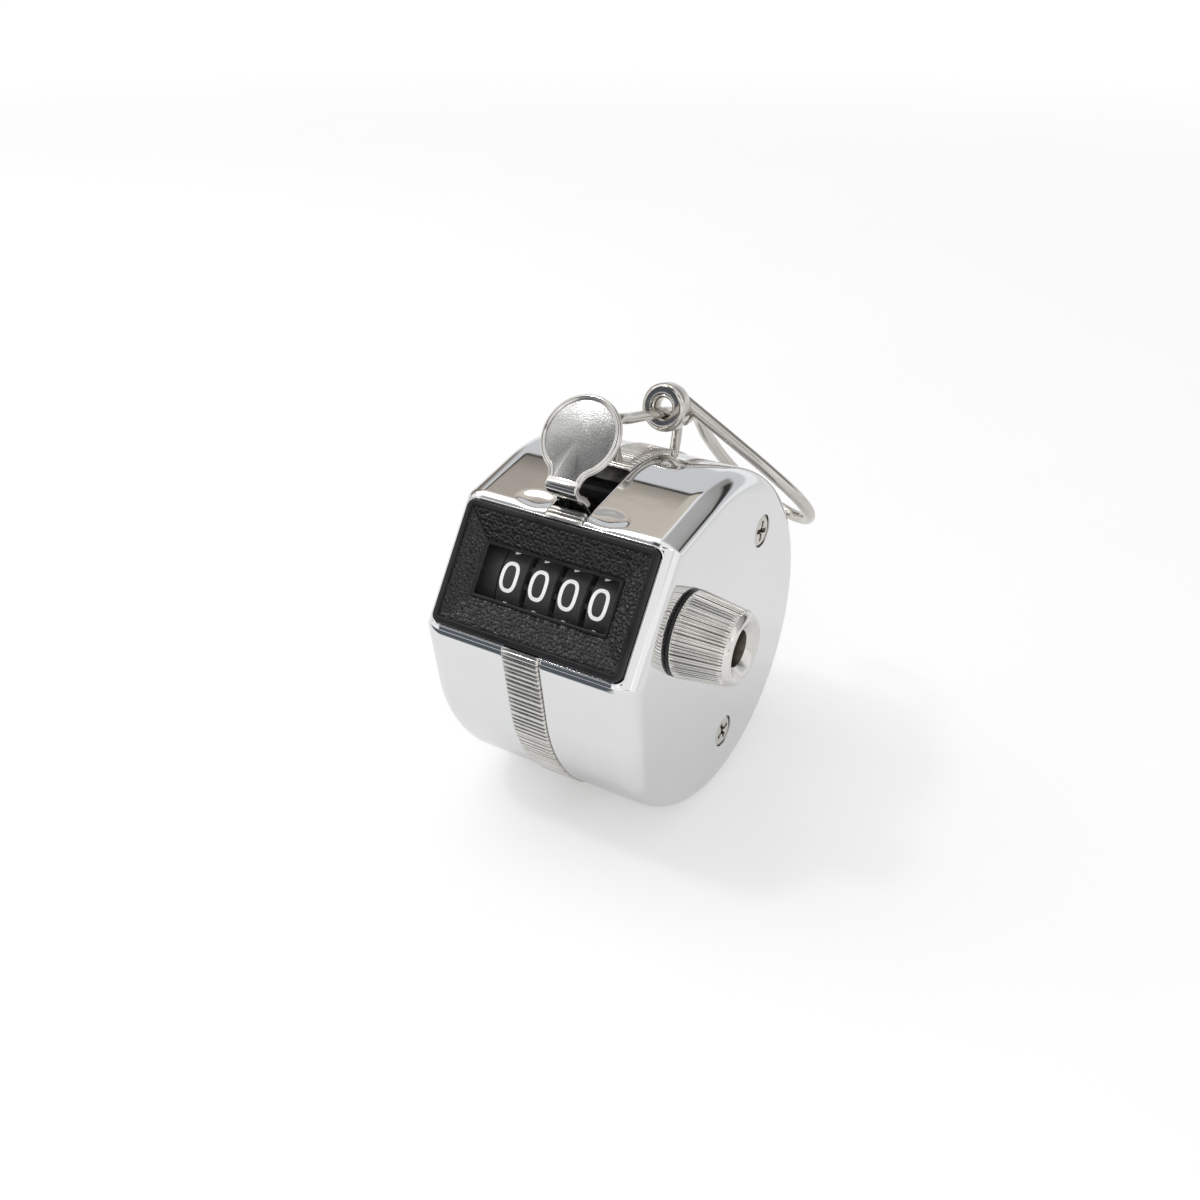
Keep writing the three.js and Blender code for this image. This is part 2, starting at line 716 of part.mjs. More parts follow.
function returnSpring() {
  const start = -leverWidth / 2 - 0.5;
  const radius = leverShaftRadius + springWire / 2 + 0.2;
  const pitch = springWire + 0.55;
  const steps = springTurns * 10;
  const points = Array.from({ length: steps + 1 }, (_, k) => {
    const angle = (k / 10) * 2 * Math.PI;
    return new THREE.Vector3(
      start - (k / 10) * pitch,
      leverPivot[0] + radius * Math.cos(angle),
      leverPivot[1] + radius * Math.sin(angle),
    );
  });
  return wire(new THREE.CatmullRomCurve3(points), springWire / 2, steps, 5);
}

function detentSpring() {
  const x = firstWheelX + 3 * wheelPitch + rimWidth / 2 + 0.15 + ratchetWidth / 2;
  const nose = ratchetTipRadius + 0.5;
  const touch = [-axleDistance + nose * Math.cos(detentAngle), nose * Math.sin(detentAngle)];
  const leaf = plate(capsule(lowerPost, touch, 0.8, 0.3, 5), x - 0.3, x + 0.3);
  const collar = rod(x - 0.3, x + 0.3, ...lowerPost, postRadius + 0.9, postRadius + 0.9, 24);
  const bore = postRadius + runningGap;
  return leaf.add(collar).subtract(rod(x - 1, x + 1, ...lowerPost, bore, bore, 24));
}

// Reset knob: tapered, straight-knurled, with a coned cup in its end.

function resetKnob() {
  const start = caseHalfWidth + knobGap;
  const end = start + knobLength;
  const ring = (x, radius, depth) =>
    Array.from({ length: knobKnurls * 2 }, (_, k) => {
      const angle = (k * Math.PI) / knobKnurls;
      const r = radius - (k % 2 ? depth : 0);
      return [x, -axleDistance + r * Math.cos(angle), r * Math.sin(angle)];
    });
  const body = solid(
    loft([
      ring(start, knobBaseRadius - 0.25, 0),
      ring(start + 0.25, knobBaseRadius, knobKnurlDepth),
      ring(end - knobChamfer * 1.6, knobTipRadius, knobKnurlDepth),
      ring(end - knobChamfer, knobTipRadius - knobKnurlDepth, 0),
      ring(end, knobTipRadius - knobChamfer - knobKnurlDepth, 0),
    ]),
  );
  const cup = rod(end - knobCupDepth, end + 0.01, -axleDistance, 0, knobBoreRadius, knobCupRadius, 32);
  const bore = rod(end - knobBoreDepth, end, -axleDistance, 0, knobBoreRadius, knobBoreRadius, 32);
  const axleHole = rod(start - 1, end - knobBoreDepth + 0.1, -axleDistance, 0, axleRadius + runningGap);
  return body.subtract(cup).subtract(bore).subtract(axleHole);
}

// Hoop and ring, in the upright frame.

const hoopCurve = new THREE.CatmullRomCurve3(hoopPath.map(([y, z]) => new THREE.Vector3(hoopX, y, z)));
const hoopBody = (radius) => wire(hoopCurve, radius, 34, 8);

// Holes for the hoop's two feet, run on straight past their ends.
function hoopHoles(radius) {
  let holes = hoopBody(radius);
  for (const [at, sign] of [[0, -1], [1, 1]]) {
    const end = hoopCurve.getPoint(at);
    const beyond = end.clone().addScaledVector(hoopCurve.getTangent(at), sign * 3);
    const start = end.clone().addScaledVector(hoopCurve.getTangent(at), -sign * 0.2);
    holes = holes.add(wire(new THREE.LineCurve3(start, beyond), radius, 1, 8));
  }
  return holes;
}

function fingerRing() {
  const origin = new THREE.Vector3(...ringOrigin);
  const along = new THREE.Vector3(...ringAlong);
  const across = new THREE.Vector3(...ringAcross);
  const path = ringPath.map(([s, r]) => origin.clone().addScaledVector(along, s).addScaledVector(across, r));
  path.push(new THREE.Vector3(...ringFoot));
  const strand = wire(new THREE.CatmullRomCurve3(path), ringWire, 56, 8);
  const half = eyeLength / 2;
  const inset = eyeRound * 0.3;
  const barrel = [
    [-half, eyeHoleRadius + eyeRound],
    [-half, eyeOuterRadius - eyeRound],
    [-half + inset, eyeOuterRadius - inset],
    [-half + eyeRound, eyeOuterRadius],
    [half - eyeRound, eyeOuterRadius],
    [half - inset, eyeOuterRadius - inset],
    [half, eyeOuterRadius - eyeRound],
    [half, eyeHoleRadius + eyeRound],
    [half - inset, eyeHoleRadius + inset],
    [half - eyeRound, eyeHoleRadius],
    [-half + eyeRound, eyeHoleRadius],
    [-half + inset, eyeHoleRadius + inset],
  ];
  const aim = new THREE.Quaternion().setFromUnitVectors(
    new THREE.Vector3(1, 0, 0), new THREE.Vector3(...eyeAxis).normalize(),
  );
  const place = new THREE.Matrix4().makeRotationFromQuaternion(aim).setPosition(...eyeCentre);
  const moved = (body) => body.transform(place.toArray());
  const hole = moved(rod(-4, 4, 0, 0, eyeHoleRadius, eyeHoleRadius, 28));
  return moved(turned(barrel, 28)).add(strand.subtract(hole));
}

// Assembly: everything fixed to the case's own section sits in a group tilted with the window.

const counter = new THREE.Group();
counter.position.x = caseHalfWidth;
const tilted = new THREE.Group();
tilted.rotation.x = -windowTilt;
counter.add(tilted);

function add(parent, name, body, material, x = 0, y = 0, z = 0) {
  const mesh = new THREE.Mesh(geometryOf(body), material);
  mesh.name = name;
  mesh.position.set(x, y, z);
  parent.add(mesh);
}

add(tilted, "left_cover", cover(-1), chrome);
add(tilted, "right_cover", cover(1), chrome);
add(tilted, "centre_frame", centreFrame(), nickel);
add(tilted, "bezel", bezel(), blackPlastic);
add(tilted, "window_lens", windowLens(), clearPlastic);
add(tilted, "left_plate", innerPlate(-1), steel);
add(tilted, "right_plate", innerPlate(1), steel);
add(tilted, "upper_post", post(upperPost), steel);
add(tilted, "lower_post", post(lowerPost), steel);
for (const [place, at] of Object.entries(screwPlaces)) {
  add(tilted, `right_screw_${place}`, caseScrew(1, at), nickel);
  add(tilted, `left_screw_${place}`, caseScrew(-1, at), nickel);
}

wheelNames.forEach((name, k) => {
  const x = firstWheelX + k * wheelPitch;
  const geared = k < wheelNames.length - 1;
  add(tilted, `${name}_wheel`, numberWheel(geared), wheelPlastic, x, -axleDistance, 0);
  if (geared) {
    add(tilted, `${name}_pinion`, carryPinion(), brass, x + wheelPitch / 2, ...pinionPlace);
  }
});
const unitsX = firstWheelX + (wheelNames.length - 1) * wheelPitch;
const ratchetX = unitsX + rimWidth / 2 + 0.15 + ratchetWidth / 2;
add(tilted, "ratchet_wheel", ratchetWheel(), steel, ratchetX, -axleDistance, 0);
const axleEnd = caseHalfWidth + knobGap + knobLength - knobBoreDepth + 0.4;
add(tilted, "wheel_axle", rod(-shaftReach, axleEnd, -axleDistance, 0, axleRadius), steel);
add(tilted, "reset_knob", resetKnob(), nickel);
add(tilted, "pinion_shaft", rod(-shaftReach, shaftReach, ...pinionPlace, pinionShaftRadius), steel);
add(tilted, "detent_spring", detentSpring(), steel);
add(tilted, "left_spacer", spacer(), wheelPlastic);

add(tilted, "thumb_lever", thumbLever(), nickel);
add(tilted, "lever_shaft", rod(-shaftReach, shaftReach, ...leverPivot, leverShaftRadius), steel);
add(tilted, "lever_return_spring", returnSpring(), steel);
add(tilted, "drive_arm", driveArm(), steel);
add(tilted, "drive_pawl", drivePawl(), steel);
const pawlPinEnds = [driveArmX - pawlThickness - 0.2, driveArmX + driveArmThickness];
add(tilted, "pawl_pin", rod(...pawlPinEnds, ...pawlPivot, pawlPinRadius, pawlPinRadius, 12), steel);

add(counter, "ring_hoop", hoopBody(hoopWire), nickel);
add(counter, "finger_ring", fingerRing(), nickel);

export default counter;
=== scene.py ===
# %% [markdown]
# # A chromed tally counter
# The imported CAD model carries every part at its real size. This lesson dresses it: the pressed case halves,
# the ribbed band, the bezel, the number wheels, the thumb lever, the knob, the screws, the hoop and the ring
# are surfaces worked out with numpy, and the rest of the CAD nodes get materials of their own.

import math

import bmesh
import bpy
import numpy as np
from mathutils import Matrix, Vector
from mathutils.geometry import delaunay_2d_cdt


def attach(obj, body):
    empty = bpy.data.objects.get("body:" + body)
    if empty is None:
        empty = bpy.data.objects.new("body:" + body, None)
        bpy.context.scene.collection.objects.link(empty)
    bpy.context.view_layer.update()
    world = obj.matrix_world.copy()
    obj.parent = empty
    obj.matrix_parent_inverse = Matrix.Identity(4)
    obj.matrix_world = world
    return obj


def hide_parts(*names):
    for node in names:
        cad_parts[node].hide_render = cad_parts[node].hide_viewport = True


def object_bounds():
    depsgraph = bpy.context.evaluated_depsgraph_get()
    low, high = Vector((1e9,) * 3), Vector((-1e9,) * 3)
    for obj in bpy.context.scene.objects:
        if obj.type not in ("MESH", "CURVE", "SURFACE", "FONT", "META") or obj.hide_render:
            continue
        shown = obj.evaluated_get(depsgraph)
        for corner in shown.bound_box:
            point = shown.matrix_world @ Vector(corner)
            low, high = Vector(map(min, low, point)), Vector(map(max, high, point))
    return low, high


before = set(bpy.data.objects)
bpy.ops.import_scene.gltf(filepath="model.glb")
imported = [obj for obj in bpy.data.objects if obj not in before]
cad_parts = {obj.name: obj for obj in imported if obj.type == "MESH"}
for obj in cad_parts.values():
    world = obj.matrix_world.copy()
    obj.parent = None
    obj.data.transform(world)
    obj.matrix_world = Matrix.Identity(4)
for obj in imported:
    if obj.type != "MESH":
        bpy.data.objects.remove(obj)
cad_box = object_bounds()

# %% [markdown]
# The camera comes first. Its place, its turn and its lens were worked out from the outline of the counter in
# the photograph, so the picture needs no lens shift.

# %% Camera
MM = 0.001
CASE_MIDDLE = 15.2  # the case's middle plane lies this far along X, in millimetres
SENSOR_WIDTH, LENS, NEAR_CLIP = 36.0, 36.52, 0.005
CAMERA_RIGHT = (0.84941, 0.52773, -0.00304)
CAMERA_UP = (-0.26217, 0.42695, 0.86544)
CAMERA_BACK = (0.45802, -0.73431, 0.50100)
CAMERA_PLACE = (71.5 + CASE_MIDDLE, -120.302, 83.164)


def placed(name, data):
    """A new object of the scene that shows the data."""
    made = bpy.data.objects.new(name, data)
    bpy.context.scene.collection.objects.link(made)
    return made


def make_camera():
    """The columns of the camera's matrix are its right, its up, its back and its place, in the row frame."""
    data = bpy.data.cameras.new("photo_camera")
    data.sensor_width, data.lens, data.clip_start = SENSOR_WIDTH, LENS, NEAR_CLIP
    columns = [CAMERA_RIGHT, CAMERA_UP, CAMERA_BACK, tuple(value * MM for value in CAMERA_PLACE)]
    camera = placed("photo_camera", data)
    camera.matrix_world = Matrix([[column[i] for column in columns] for i in range(3)] + [[0, 0, 0, 1]])
    bpy.context.scene.camera = camera
    return camera


camera = make_camera()
print("camera at", [round(value, 4) for value in camera.location])

# %% [markdown]
# Every new piece is a grid of points: a profile carried along a path, or a profile turned about an axis. Most
# are worked out in the window's frame, which looks straight at the tilted front, because the case is plain
# there, and are then turned into the row frame. Small helpers number the four-sided faces of a grid.

# %% Grids
TILT = math.radians(35.2)  # the window's normal above the horizontal


def upright_to_row(points):
    """Points of the upright case frame in millimetres, as metres of the row frame."""
    return (points + np.array([CASE_MIDDLE, 0.0, 0.0])) * MM


def to_row(points):
    """Points of the window's frame, turned about X by the tilt and shifted to the row frame, in metres:
    y' = y cos + z sin and z' = z cos - y sin."""
    x, y, z = np.moveaxis(points, -1, 0)
    cos, sin = math.cos(TILT), math.sin(TILT)
    return upright_to_row(np.stack([x, y * cos + z * sin, z * cos - y * sin], axis=-1))


def grid_faces(grid, wrap_rows=False, wrap_columns=False):
    """Face (i, j) joins the points i, i+1 of the rows with j, j+1 of the columns."""
    rows, columns = grid.shape[:2]
    last_row, last_column = rows - (not wrap_rows), columns - (not wrap_columns)
    i, j = np.meshgrid(np.arange(last_row), np.arange(last_column), indexing="ij")
    next_i, next_j = (i + 1) % rows, (j + 1) % columns
    corners = [i * columns + j, i * columns + next_j, next_i * columns + next_j, next_i * columns + j]
    return np.stack(corners, axis=-1).reshape(-1, 4)


def capped_faces(grid):
    """Faces of a grid whose rows are closed loops, and one more face over its first and its last row."""
    rows, columns = grid.shape[:2]
    last = list(range((rows - 1) * columns, rows * columns))
    return grid_faces(grid, wrap_columns=True).tolist() + [list(range(columns)), last[::-1]]


def fan_faces(start, count, middle):
    """Triangles that join the loop of points from start on with one middle point."""
    k = np.arange(count)
    return np.stack([start + k, start + (k + 1) % count, np.full(count, middle)], axis=-1).tolist()


def closed_block(grid):
    """A grid of the window's frame that is closed both ways, as points, faces and material number 0."""
    return to_row(grid), grid_faces(grid, wrap_rows=True, wrap_columns=True).tolist(), 0


def full_turn(count):
    """Angles that divide a full turn evenly."""
    return np.linspace(0, 2 * np.pi, count, endpoint=False)


def around_x(along, radius, angle):
    """Points (along, r cos a, r sin a), with the three broadcast to one shape."""
    along, radius, angle = np.broadcast_arrays(along, radius, angle)
    return np.stack([along, radius * np.cos(angle), radius * np.sin(angle)], axis=-1)


def turned_block(half_profile, segments, place):
    """(along, radius) pairs and their mirror image, turned about an axis along X through the place."""
    profile = [(-along, radius) for along, radius in half_profile[::-1]] + half_profile
    along, radius = np.array(profile, float).T[..., None]
    return closed_block(around_x(along, radius, full_turn(segments)) + place)


def smoothstep(value, low, high):
    """0 below low, 1 above high, and t t (3 - 2 t) between them."""
    t = np.clip((value - low) / (high - low), 0, 1)
    return t * t * (3 - 2 * t)


def unit(vectors):
    """Each vector over its length."""
    return vectors / np.linalg.norm(vectors, axis=-1, keepdims=True)


def to_left(steps):
    """Steps (u, v) of a flat path, turned a quarter turn to the left: (-v, u)."""
    return np.stack([-steps[:, 1], steps[:, 0]], axis=-1)


print("the window's normal rises", round(math.degrees(TILT), 1), "degrees")

# %% [markdown]
# A piece may join several grids. The mesh is made in one go from all their points and faces. Points that
# coincide are merged, and the faces are turned outwards before a sheet gets its thickness, and again after.

# %% Pieces
MERGE_DISTANCE = 1e-7


def joined_mesh(name, blocks):
    """One mesh from blocks of (points, faces, a material number or one a face)."""
    points, faces, numbers, start = [], [], [], 0
    for block, block_faces, block_numbers in blocks:
        points.append(block.reshape(-1, 3))
        faces += [[start + corner for corner in face] for face in block_faces]
        numbers.append(np.broadcast_to(block_numbers, len(block_faces)))
        start += len(points[-1])
    mesh = bpy.data.meshes.new(name)
    mesh.from_pydata(np.concatenate(points).tolist(), [], faces)
    mesh.polygons.foreach_set("material_index", np.concatenate(numbers).astype(np.int32))
    return mesh


def cleaned(bm):
    """Merges the doubles and turns the faces outwards."""
    bmesh.ops.remove_doubles(bm, verts=bm.verts, dist=MERGE_DISTANCE)
    bmesh.ops.recalc_face_normals(bm, faces=bm.faces)


def make_piece(name, blocks, body, replaced=(), sharp_degrees=60, thickness=0.0):
    """Joins the blocks, cleans the mesh, thickens a sheet and marks the sharp edges."""
    mesh = joined_mesh(name, blocks)
    bm = bmesh.new()
    bm.from_mesh(mesh)
    cleaned(bm)
    if thickness:
        bmesh.ops.solidify(bm, geom=list(bm.faces), thickness=thickness)
        cleaned(bm)
    bm.to_mesh(mesh)
    bm.free()
    mesh.shade_smooth()
    mesh.set_sharp_from_angle(angle=math.radians(sharp_degrees))
    piece = placed(name, mesh)
    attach(piece, body)
    if replaced:
        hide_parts(*replaced)
    print(name, len(mesh.polygons), "faces")
    return piece


# %% [markdown]
# The case's section is a flat front, two small corners, two tangent lines and a round back. A point of it is
# a centre plus a radius times its normal, so an inset only changes the radii: the pressed rim of each half is
# the same section drawn in step by step.

# %% The case's section
CASE_RADIUS = 22.5
FACE_DISTANCE = 22.6
FACE_HALF_HEIGHT = 9.8
CORNER_RADIUS = 1.6
CORNER_FLOOR = 0.25  # no inset makes a corner sharper than this
corner_y = -(FACE_DISTANCE - CORNER_RADIUS)
corner_z = FACE_HALF_HEIGHT - CORNER_RADIUS
corner_reach = math.hypot(corner_y, corner_z)
TANGENT_TURN = math.atan2(corner_z, corner_y) - math.acos((CASE_RADIUS - CORNER_RADIUS) / corner_reach)


def section_anchors(inset):
    """Centres and radii of the front's middle, lower corner, back and upper corner at an inset."""
    corner = np.maximum(CORNER_RADIUS - inset, CORNER_FLOOR)
    easing = 1 - math.cos(TANGENT_TURN)
    spare = (corner - CORNER_RADIUS + inset) / easing
    y, z = corner_y + spare * easing, corner_z - spare * math.sin(TANGENT_TURN)
    zero = np.zeros_like(y)
    anchors = [(zero + corner_y, zero), (y, -z), (zero, zero), (y, z)]
    centres = np.stack([np.stack(anchor, axis=-1) for anchor in anchors], axis=-2)
    return centres, np.stack([CORNER_RADIUS - inset + zero, corner, CASE_RADIUS - inset + zero, corner], axis=-1)


def section_parts():
    """Length, first and last anchor, first and last normal angle of each part, from the front's middle down."""
    back_line = math.sqrt(corner_y**2 + corner_z**2 - (CASE_RADIUS - CORNER_RADIUS) ** 2)
    turn = TANGENT_TURN
    corner_length = CORNER_RADIUS * (math.pi - turn)
    return [
        (corner_z, 0, 1, math.pi, math.pi),
        (corner_length, 1, 1, math.pi, 2 * math.pi - turn),
        (back_line, 1, 2, 2 * math.pi - turn, 2 * math.pi - turn),
        (CASE_RADIUS * 2 * turn, 2, 2, -turn, turn),
        (back_line, 2, 3, turn, turn),
        (corner_length, 3, 3, turn, math.pi),
        (corner_z, 3, 0, math.pi, math.pi),
    ]


PART_LENGTHS, FIRST_ANCHORS, LAST_ANCHORS, FIRST_ANGLES, LAST_ANGLES = map(np.array, zip(*section_parts()))
PART_ENDS = np.concatenate([[0.0], np.cumsum(PART_LENGTHS)])
SECTION_LENGTH = PART_ENDS[-1]


def section_stations(distance):
    """Weights of the four anchors and the normal at each distance round the section."""
    part = np.clip(np.searchsorted(PART_ENDS, distance, side="right") - 1, 0, len(PART_LENGTHS) - 1)
    share = (distance - PART_ENDS[part]) / PART_LENGTHS[part]
    angle = (1 - share) * FIRST_ANGLES[part] + share * LAST_ANGLES[part]
    share = share[:, None]
    weights = (1 - share) * np.eye(4)[FIRST_ANCHORS[part]] + share * np.eye(4)[LAST_ANCHORS[part]]
    return weights, np.stack([np.cos(angle), np.sin(angle)], axis=-1)


def section_grid(distance, x, inset):
    """Point (i, j) lies at distance i, drawn in by inset (i, j), at x j, all in the window's frame."""
    weights, normal = section_stations(distance)
    centres, radii = section_anchors(np.broadcast_to(inset, (len(distance), len(x))).astype(float))
    middle = np.einsum("ik,ijkc->ijc", weights, centres)
    reach = np.einsum("ik,ijk->ij", weights, radii)
    yz = middle + reach[..., None] * normal[:, None, :]
    return np.concatenate([np.broadcast_to(x, reach.shape)[..., None], yz], axis=-1)


print("section length", round(SECTION_LENGTH, 2), "mm")

# %% [markdown]
# Each case half is pressed from sheet: a skirt, a rim that rolls over in a quarter of an ellipse, and a flat
# side with seats for two screws. The front of the skirt is cut out for the bezel, and beside the lever's slot
# the sheet is pressed in to an oval. The skirt and rim are one grid. The flat side has round holes, which a
# grid can't have, so a triangulation with fixed edges fills it, and both are given the sheet's thickness.

# %% Case halves
SHEET = 0.7
BAND_HALF_WIDTH = 2.55
SEAM = 0.1
SEAM_EDGE = [(0, 0.12), (0.04, 0.035), (0.12, 0)]  # how far along and how far in the seam's edge lies
RIM_RADIAL = 2.6
RIM_AXIAL = 3.4
OPENING_HALF_HEIGHT = 7.95
OPENING_HALF_WIDTH = 13.5
SLACK = 1e-4
UPPER_SCREW = (0.5, 15.5)
LOWER_SCREW = (9.0, -10.9)
SEAT_RADIUS = 2.2
AXLE_DISTANCE = 13.0
KNOB_HOLE = 1.9
HOLE_STEPS = 48
SLIVER = 1e-4  # square millimetres
DIMPLE = {"x": 5.0, "distance": SECTION_LENGTH - 10.25, "reach": (2.9, 1.7), "depth": 0.32}


def side_fill(ring, holes):
    """Triangles between the outer ring and the round holes, in the (y, z) plane of the side. Those in a hole
    are left out, and so are slivers, whose two edges have next to no cross product."""
    points, edges, angle = [], [], full_turn(HOLE_STEPS)
    circle = np.stack([np.cos(angle), np.sin(angle)], axis=-1)
    for loop in [ring] + [np.array(centre) + radius * circle for centre, radius in holes]:
        start, count = len(points), len(loop)
        points += map(Vector, loop.tolist())
        edges += [(start + k, start + (k + 1) % count) for k in range(count)]
    found, _, faces, *_ = delaunay_2d_cdt(points, edges, [], 0, 1e-6)
    found, faces = np.array([tuple(point) for point in found]), np.array(faces)
    corners = found[faces]
    across, up = corners[:, 1] - corners[:, 0], corners[:, 2] - corners[:, 0]
    kept = np.abs(across[:, 0] * up[:, 1] - across[:, 1] * up[:, 0]) >= SLIVER
    for centre, radius in holes:
        kept &= np.hypot(*(corners.mean(axis=1) - np.array(centre)).T) > radius
    return found, faces[kept].tolist()


def pressed_oval(distance, x):
    """The oval's depth times 1 - smoothstep of (x / a)^2 + (distance / b)^2, both from its middle."""
    across = (x[None, :] - DIMPLE["x"]) / DIMPLE["reach"][0]
    along = (distance[:, None] - DIMPLE["distance"]) / DIMPLE["reach"][1]
    return DIMPLE["depth"] * (1 - smoothstep(across**2 + along**2, 0.05, 1.0))


def in_opening(faces, distance, x):
    """Whether each face lies in the opening for the bezel, by the distance from the front's middle and by x."""
    height = distance[faces // len(x)]
    height = np.where(height > SECTION_LENGTH / 2, height - SECTION_LENGTH, height)
    low = np.abs(height).max(axis=1) <= OPENING_HALF_HEIGHT + SLACK
    return low & (x[faces % len(x)].max(axis=1) <= OPENING_HALF_WIDTH + SLACK)


def case_half(side, name, node, holes):
    """Skirt and rim: x runs along the skirt, then x = a + b sin t with an inset of c (1 - cos t)."""
    start, skirt_end = BAND_HALF_WIDTH + SEAM, CASE_MIDDLE - RIM_AXIAL
    rim = np.linspace(0, np.pi / 2, 25)
    edge_x, edge_inset = np.array(SEAM_EDGE).T
    skirt = np.linspace(start + 0.3, skirt_end, 30)[:-1]
    x = np.concatenate([start + edge_x, skirt, skirt_end + RIM_AXIAL * np.sin(rim)])
    inset = np.concatenate([edge_inset, np.zeros(len(skirt)), RIM_RADIAL * (1 - np.cos(rim))])
    stops = np.concatenate([PART_ENDS, [OPENING_HALF_HEIGHT, SECTION_LENGTH - OPENING_HALF_HEIGHT]])
    distance = np.unique(np.concatenate([np.linspace(0, SECTION_LENGTH, 420), stops]).round(5))[:-1]
    grid = section_grid(distance, x, inset + pressed_oval(distance, x))
    faces = grid_faces(grid, wrap_rows=True)
    faces = faces[~in_opening(faces, distance, x)]
    grid[..., 0] *= side
    flat, triangles = side_fill(grid[:, -1, 1:], holes)
    flat = np.column_stack([np.full(len(flat), side * CASE_MIDDLE), flat])
    blocks = [(to_row(grid), faces.tolist(), 0), (to_row(flat), triangles, 0)]
    return make_piece(name, blocks, "case", [node], sharp_degrees=38, thickness=SHEET * MM)


seats = [(UPPER_SCREW, SEAT_RADIUS), (LOWER_SCREW, SEAT_RADIUS)]
shells = [
    case_half(-1, "left_shell", "left_cover", seats),
    case_half(1, "right_shell", "right_cover", seats + [((-AXLE_DISTANCE, 0.0), KNOB_HOLE)]),
]

# %% [markdown]
# The band between the halves is a strip with ribs rolled across it. Its cross-section is a flat bar with
# rounded edges, and the ribs are a wave of its height along the way round. It stops at the bezel, and the
# lever's slot leaves a short lip of it above the bezel. Underneath, the ribs end in a small flat to stand on.
# The grooves get a material number of their own, whose darker colour is painted shade.

# %% Ribbed band
RIB_PITCH = 0.7
RIB_DEPTH = 0.2
STEPS_PER_RIB = 10
GROOVE_BELOW = 0.72  # a face belongs to a groove if the wave stays under this
BAND_PROUD = 0.25
BAND_DEPTH = 1.9
SLOT_REAR = 15.2
SLOT_FLOOR = 9.5
STAND_HEIGHT = -CASE_RADIUS * MM  # the ribs are worn flat down to here, where the counter stands
BAR_EDGE = [(0, 0), (0, 0.16), (0.06, 0.05), (0.2, 0), (BAND_HALF_WIDTH - 1.2, 0)]  # in from the side, sunk


def band_strip(first, last):
    """Height = proud - depth (1 - |sin(pi s / pitch)|^0.4), with s strayed a little, on a round-edged bar."""
    distance = np.linspace(first, last, int((last - first) / RIB_PITCH * STEPS_PER_RIB))
    strayed = distance + 0.05 * np.sin(2.3 * distance) + 0.04 * np.sin(5.1 * distance + 1)
    wave = np.abs(np.sin(np.pi * strayed / RIB_PITCH)) ** 0.4
    edge_x, sunk = np.array(BAR_EDGE).T
    x = np.concatenate([edge_x - BAND_HALF_WIDTH, [0], (BAND_HALF_WIDTH - edge_x)[::-1]])
    sunk = np.concatenate([sunk, [0], sunk[::-1]])
    inset = sunk[None, :] - BAND_PROUD + RIB_DEPTH * (1 - wave[:, None])
    inset[:, [0, -1]] = BAND_DEPTH
    grid = section_grid(distance, x, inset)
    faces = grid_faces(grid, wrap_columns=True)
    # faces of the grooves, which get the darker material: painted shade
    groove = (wave[faces // len(x)].max(axis=1) < GROOVE_BELOW).astype(int)
    points = to_row(grid)
    points[..., 2] = np.maximum(points[..., 2], STAND_HEIGHT)
    return points, capped_faces(grid), np.concatenate([groove, [0, 0]])


def slot_distance():
    """How far round the section the slot's rear edge and its front lip lie."""
    distance = np.linspace(SECTION_LENGTH * 0.7, SECTION_LENGTH - 6, 4000)
    surface = section_grid(distance, np.zeros(1), np.zeros(1))[:, 0]
    rear = distance[np.argmin(np.abs(surface[:, 1] + SLOT_REAR))]
    lip = distance[np.argmin(np.abs(surface[:, 2] - SLOT_FLOOR))]
    return rear, lip


slot_rear, slot_lip = slot_distance()
band_gap = OPENING_HALF_HEIGHT + SEAM
strips = [band_strip(band_gap, slot_rear), band_strip(slot_lip, SECTION_LENGTH - band_gap)]
band = make_piece("ribbed_band", strips, "case", ["centre_frame"], sharp_degrees=50)

# %% [markdown]
# The front is framed by a thin rolled lip of the case. Like the bezel in it, the lip is a chain of rounded
# rectangles, each with its size, its corner radius and its depth. The lip sinks with the case's rolled rim.

# %% Lip round the bezel
BEZEL_WIDTH = 26.84
BEZEL_HEIGHT = 15.74
CORNER_STEPS = 8
SIDE_STEPS = (190, 100)
LIP = [  # how much wider than the bezel, corner radius, how far it stands out
    (0.80, 1.4, -0.06), (0.72, 1.36, 0.04), (0.56, 1.28, 0.1), (0.38, 1.19, 0.1), (0.24, 1.12, 0.03),
    (0.18, 1.09, -0.12), (0.18, 1.09, -0.9),
]


def corner_arcs(width, height, radius, steps):
    """The four quarter circles of a rounded rectangle: centre + r (cos a, sin a)."""
    arcs = []
    for k, (across, up) in enumerate([(1, 1), (-1, 1), (-1, -1), (1, -1)]):
        angle = np.linspace(0, np.pi / 2, steps) + k * np.pi / 2
        u = across * (width / 2 - radius) + radius * np.cos(angle)
        v = up * (height / 2 - radius) + radius * np.sin(angle)
        arcs.append(np.stack([u, v], axis=-1))
    return arcs


def rounded_rectangle(width, height, radius, depth):
    """The quarter circles, joined by evenly divided sides, at y = -depth."""
    corners, ring = corner_arcs(width, height, radius, CORNER_STEPS), []
    for k in range(4):
        share = np.linspace(0, 1, SIDE_STEPS[k % 2] + 1)[1:-1, None]
        ring += [corners[k], corners[k][-1] * (1 - share) + corners[(k + 1) % 4][0] * share]
    x, z = np.concatenate(ring).T
    return np.stack([x, np.full(len(x), -depth), z], axis=-1)


def rectangles(width, height, table):
    """One loop for each (grow, radius, rise) of the table, round the width and height of the front."""
    loops = [rounded_rectangle(width + grow, height + grow, r, FACE_DISTANCE + rise) for grow, r, rise in table]
    return np.stack(loops)


